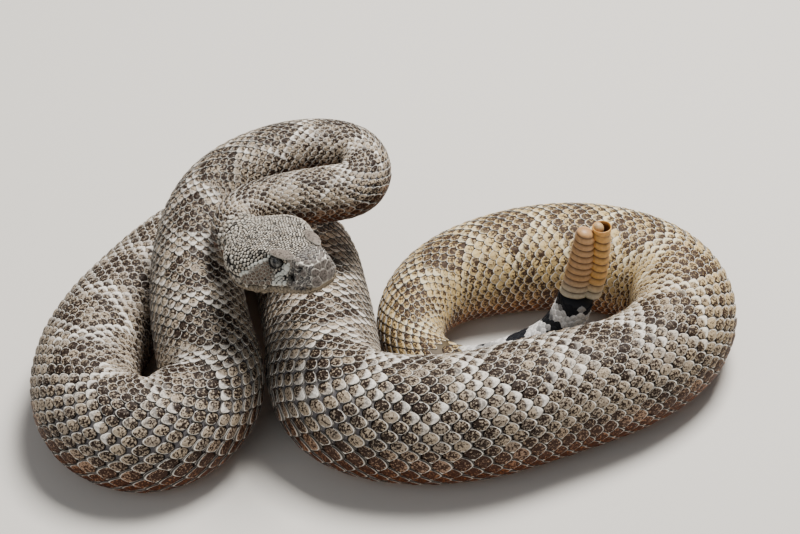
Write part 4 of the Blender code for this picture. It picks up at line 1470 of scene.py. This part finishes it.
# Rings over the last bead: height, size and seam. The right cap turns back down inside itself
LEFT_CAP = ((0.1, 0.88, 0.9), (0.5, 0.9, 0.3), (1.2, 0.8, 0.0), (1.9, 0.55, 0.0), (2.3, 0.25, 0.1))
RIGHT_CAP = (
    (0.4, 0.94, 0.2), (1.4, 1.0, 0.0), (2.4, 1.0, 0.0), (2.75, 0.96, 0.0),
    (2.5, 0.88, 0.3), (1.0, 0.82, 0.9), (-1.6, 0.7, 1.0),
)


def rattle(skin, material):
    """Two lobes of horny beads side by side. The right one is broken open at the top."""
    frames = skin.route.frames(np.array([skin.route.named["rattle base"]]))
    base, along, left, up = (value[0] for value in frames[:4])
    angle = np.arange(RATTLE_SIDES) * 2 * math.pi / RATTLE_SIDES
    verts, quads, tris, marks = [], [], [], []

    def place(height, side, depth):
        return base + np.outer(height, along) - np.outer(side, up) + np.outer(depth, left)

    def shell(rings, lobe):
        """One closed shell through rings of height, size and seam."""
        start = sum(len(part) for part in verts)
        points = []
        for height, size, seam in rings:
            row = [np.interp(height, LOBES[:, 0], column) for column in LOBES[:, 1:].T]
            middle, half = (row[2], row[3]) if lobe else (row[0], row[1])
            side = RATTLE_SHIFT - RATTLE_CURVE * height**2 + middle + half * size * np.cos(angle)
            slant = 0.9 * np.cos(angle) * ease(34.5, 37.5, height) * lobe
            depth = row[4] * size * np.sin(angle)
            points.append(place(height + slant, side, depth))
            marks.append(np.tile((seam, ease(2, 12, height), lobe, 0), (RATTLE_SIDES, 1)))
        finish(points, start, lobe)

    def finish(points, start, lobe):
        """Closes a stack of rings and adds it to the piece."""
        faces, caps = ring_faces(len(points), RATTLE_SIDES)
        verts.extend([*points, [points[0].mean(axis=0)], [points[-1].mean(axis=0)]])
        quads.append(faces + start)
        tris.append(caps + start)
        marks.append(np.array([(1.0, 0, lobe, 0), (marks[-1][0, 0], 1, lobe, 0)]))

    for lobe, (beads, pitch), cap in ((0, LEFT_BEADS, LEFT_CAP), (1, RIGHT_BEADS, RIGHT_CAP)):
        rings = [(pitch * (k + at), size, seam) for k in range(beads) for at, size, seam in BEAD]
        rings += [(pitch * beads + rise, size, seam) for rise, size, seam in cap]
        shell(rings, lobe)
    # The light inner lobe that shows in the broken end
    start = sum(len(part) for part in verts)
    points = []
    for turn in np.radians(np.linspace(-80, 80, 13)):
        height = 37.0 + 2.6 * math.sin(turn)
        side = RATTLE_SHIFT - RATTLE_CURVE * height**2 + 2.3 + 2.3 * math.cos(turn) * np.cos(angle)
        depth = 2.3 * math.cos(turn) * np.sin(angle) - 0.3
        points.append(place(np.full(RATTLE_SIDES, height), side, depth))
        marks.append(np.tile((0, 0.6, 0.6, 0), (RATTLE_SIDES, 1)))
    finish(points, start, 0.6)
    verts, quads, tris = (np.concatenate(parts) for parts in (verts, quads, tris))
    piece = mesh_piece("horn_rattle", verts, quads, tris, material)
    set_colour_attribute(piece, "horn", np.concatenate(marks).T)
    return piece


class SnakeSizes(bpy.types.PropertyGroup):
    """Sizes of the coat."""

    lift: bpy.props.FloatProperty(
        name="Scale lift",
        description="Height of a scale's free tip over the skin, in millimetres",
        default=0.95,
        unit="NONE",
    )
    keel: bpy.props.FloatProperty(
        name="Keel height",
        description="Height of the keel along a scale, in millimetres",
        default=0.42,
        unit="NONE",
    )


# Label, description and sRGB colour of each colour property
COLOURS = {
    "ground": ("Ground", "Grey-brown between the diamonds", "b5a48d"),
    "blotch": ("Diamond", "Brown of the diamonds", "2a1f19"),
    "pale": ("Border", "White borders of the diamonds", "f6f0e6"),
    "rear_ground": ("Rear ground", "Tan of the hind body", "dabc80"),
    "rear_blotch": ("Rear diamond", "Faded diamonds of the hind body", "45352a"),
    "rear_pale": ("Rear border", "Cream borders of the hind body", "f7e8bd"),
    # The two flank colours paint shade on the lowest rows: darker, and warm brown as if lit by
    # light reflected from the ground. The belly's grey clouding uses the darker one too
    "flank": ("Flank", "Lowest rows", "3d1c08"),
    "flank_light": ("Flank ground", "Light parts of the lowest rows", "8a4d1e"),
    "belly": ("Belly", "Belly scutes", "b07a44"),
    # Rim: partly the pale edge of a scale, partly a painted highlight on its raised free edge
    "rim": ("Rim", "Pale rim and keel of a scale", "fffaf0"),
    # Specks: dark pigment specks of the head, also used as painted shade: the shadow line round
    # each scale, the shaded roots and walls, and the gaps between head scales
    "speck": ("Specks", "Dark pigment specks", "100c0a"),
    "between": ("Skin", "Stretched skin between the scales", "6f6c6f"),
    # Crack shade: painted shade in the narrow cracks between close scales; the skin's random stains
    # use it too
    "folded": ("Folded skin", "Folded skin between close scales", "2b2725"),
    "tail_black": ("Tail black", "Black tail rings", "1d1f24"),
    "tail_white": ("Tail white", "White tail rings", "e4e2e0"),
    "crown": ("Crown", "Top of the head", "b4a897"),
    "crown_light": ("Crown light", "Lightest head scales", "f4eee1"),
    "cheek": ("Cheek", "Dark patch behind the eye", "5f4b3d"),
    "snout": ("Snout", "Blue-grey of the snout", "6b6766"),
    "plate": ("Plate", "Plates over the eyes", "695d56"),
    "chin": ("Chin", "Throat and lower lip", "8b7d68"),
    "stripe": ("Stripe", "White stripes of the face", "e3e4dc"),
    # Painted shade inside the pits and nostrils, and round the eyes in their sockets
    "hole": ("Openings", "Inside of pits and nostrils", "0d0a09"),
    "iris": ("Iris", "Light flecks of the iris", "8c8a86"),
    "iris_dark": ("Iris dark", "Dark part of the iris", "1c1c1d"),
    "pupil": ("Pupil", "Slit pupil", "05060a"),
    "horn": ("Horn", "Rattle", "c99b68"),
    "horn_base": ("Horn base", "Newest rattle segments", "cfc3a8"),
    "horn_bright": ("Horn bright", "Sunlit lobe of the rattle", "e0a857"),
    "horn_dark": ("Horn seams", "Seams of the rattle", "4c2e18"),
    "floor": ("Floor", "Studio floor", "e9e5de"),
    "floor_shade": ("Floor shade", "Faint tooth of the floor", "d8d3ca"),
}


class SnakeColours(bpy.types.PropertyGroup):
    """Colours of the snake and its floor."""

    __annotations__ = {
        key: bpy.props.FloatVectorProperty(
            name=label, description=what, default=linear(code), subtype="COLOR", size=3
        )
        for key, (label, what, code) in COLOURS.items()
    }


BUILT = {}  # the skin's table, which every builder reads


def the_skin():
    """The table of the skin, worked out once."""
    if "skin" not in BUILT:
        BUILT["skin"] = Skin()
    return BUILT["skin"]


def join_frame(piece):
    """Puts a piece on the one body."""
    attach(piece, "root")


class SNAKE_OT_skin(bpy.types.Operator):
    """Skin from the snout to the rattle."""

    bl_idname = "snake.skin"
    bl_label = "Skin"

    def execute(self, context):
        piece = skin_piece(the_skin(), skin_material(context.scene.snake_colours))
        join_frame(piece)
        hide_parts(*FLESH)
        return {"FINISHED"}


class SNAKE_OT_scales(bpy.types.Operator):
    """Keeled scales of the back and flanks."""

    bl_idname = "snake.scales"
    bl_label = "Dorsal scales"

    def execute(self, context):
        scene = context.scene
        material = keratin_material(scene.snake_colours)
        for piece, slot in dorsal_scales(the_skin(), material, scene.snake_sizes):
            join_frame(piece)
        return {"FINISHED"}


class SNAKE_OT_scutes(bpy.types.Operator):
    """Scutes across the belly."""

    bl_idname = "snake.scutes"
    bl_label = "Belly scutes"

    def execute(self, context):
        material = belly_material(context.scene.snake_colours)
        join_frame(belly_scutes(the_skin(), material))
        return {"FINISHED"}


class SNAKE_OT_head(bpy.types.Operator):
    """Small scales and plates of the head."""

    bl_idname = "snake.head"
    bl_label = "Head scales"

    def execute(self, context):
        material = head_material(context.scene.snake_colours)
        for piece in (*head_scales(the_skin(), material), brow_plates(the_skin(), material)):
            join_frame(piece)
        return {"FINISHED"}


class SNAKE_OT_eyes(bpy.types.Operator):
    """Eyes with upright pupils."""

    bl_idname = "snake.eyes"
    bl_label = "Eyes"

    def execute(self, context):
        balls = eyes(the_skin(), context.scene.snake_colours)
        for piece, cad in zip(balls, ("eye_left", "eye_right")):
            join_frame(piece)
            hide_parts(cad)
        return {"FINISHED"}


class SNAKE_OT_rattle(bpy.types.Operator):
    """Horny rattle."""

    bl_idname = "snake.rattle"
    bl_label = "Rattle"

    def execute(self, context):
        piece = rattle(the_skin(), horn_material(context.scene.snake_colours))
        join_frame(piece)
        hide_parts("rattle")
        return {"FINISHED"}


CAMERA_TARGET = (4.8, 41.6, 20.0)
CAMERA_DISTANCE = 1050.0
CAMERA_ELEVATION = 42.0
FOCAL_PIXELS = 2308.0
IMAGE_WIDTH = 800
SENSOR_WIDTH = 36
FLOOR_HEIGHT = -0.0002  # just under the belly
SKY = (0.95, 0.97, 1.0, 1)
SKY_STRENGTH = 0.17
# Place in metres, size, watts and tint of each lamp
LAMPS = {
    "key": ((0.3, 0.4, 1.25), 0.5, 34, (1, 0.97, 0.93)),
    "fill": ((-0.8, -0.9, 0.9), 1.2, 3.5, (0.95, 0.97, 1)),
}
LAMP_TARGET = (0, 0, 0.03)


def soft_light(name, place, size, power, tint):
    """A soft square lamp that looks at the snake."""
    data = bpy.data.lights.new(name, "AREA")
    data.size = size
    data.energy = power
    data.color = tint
    lamp = bpy.data.objects.new(name, data)
    bpy.context.scene.collection.objects.link(lamp)
    lamp.location = place
    look(lamp, np.array(place), np.array(LAMP_TARGET))


def look(obj, place, target):
    """Turns a lamp or camera towards a target."""
    obj.rotation_euler = Vector(target - place).to_track_quat("-Z", "Y").to_euler()


class SNAKE_OT_stage(bpy.types.Operator):
    """Floor, soft lights and camera."""

    bl_idname = "snake.stage"
    bl_label = "Stage"

    def execute(self, context):
        scene = context.scene
        clear_selection()
        bpy.ops.mesh.primitive_plane_add(size=6, location=(0, 0, FLOOR_HEIGHT))
        floor = bpy.context.object
        floor.name = "floor"
        bpy.ops.object.transform_apply(location=True, rotation=True, scale=True)
        floor.data.materials.append(floor_material(scene.snake_colours))
        world = bpy.data.worlds.new("studio")
        scene.world = world
        world.use_nodes = True
        background = world.node_tree.nodes["Background"]
        background.inputs["Color"].default_value = SKY
        background.inputs["Strength"].default_value = SKY_STRENGTH
        for name, values in LAMPS.items():
            soft_light(name, *values)
        camera_data = bpy.data.cameras.new("camera")
        camera_data.sensor_width = SENSOR_WIDTH
        camera_data.lens = FOCAL_PIXELS * SENSOR_WIDTH / IMAGE_WIDTH
        camera_data.clip_start = 0.05
        camera = bpy.data.objects.new("camera", camera_data)
        scene.collection.objects.link(camera)
        tilt = math.radians(CAMERA_ELEVATION)
        target = np.array(CAMERA_TARGET) * MM
        place = target + np.array((0, -math.cos(tilt), math.sin(tilt))) * CAMERA_DISTANCE * MM
        camera.location = place
        look(camera, place, target)
        scene.camera = camera
        return {"FINISHED"}


class SNAKE_PT_panel(bpy.types.Panel):
    """Lists the builders."""

    bl_label = "Snake"
    bl_idname = "SNAKE_PT_panel"
    bl_space_type = "VIEW_3D"
    bl_region_type = "UI"
    bl_category = "Snake"

    def draw(self, context):
        for group in (context.scene.snake_sizes, context.scene.snake_colours):
            for key in group.__annotations__:
                self.layout.prop(group, key)
        for operator in OPERATORS:
            self.layout.operator(operator.bl_idname)


OPERATORS = (
    SNAKE_OT_skin,
    SNAKE_OT_scales,
    SNAKE_OT_scutes,
    SNAKE_OT_head,
    SNAKE_OT_eyes,
    SNAKE_OT_rattle,
    SNAKE_OT_stage,
)
CLASSES = (SnakeSizes, SnakeColours, *OPERATORS, SNAKE_PT_panel)


def register():
    for kind in CLASSES:
        bpy.utils.register_class(kind)
    bpy.types.Scene.snake_sizes = bpy.props.PointerProperty(type=SnakeSizes)
    bpy.types.Scene.snake_colours = bpy.props.PointerProperty(type=SnakeColours)


def unregister():
    del bpy.types.Scene.snake_colours
    del bpy.types.Scene.snake_sizes
    for kind in reversed(CLASSES):
        bpy.utils.unregister_class(kind)


def main():
    register()
    clear_selection()
    bpy.ops.snake.stage()
    bpy.ops.snake.skin()
    bpy.ops.snake.scales()
    bpy.ops.snake.scutes()
    bpy.ops.snake.head()
    bpy.ops.snake.eyes()
    bpy.ops.snake.rattle()


if __name__ == "__main__":
    main()
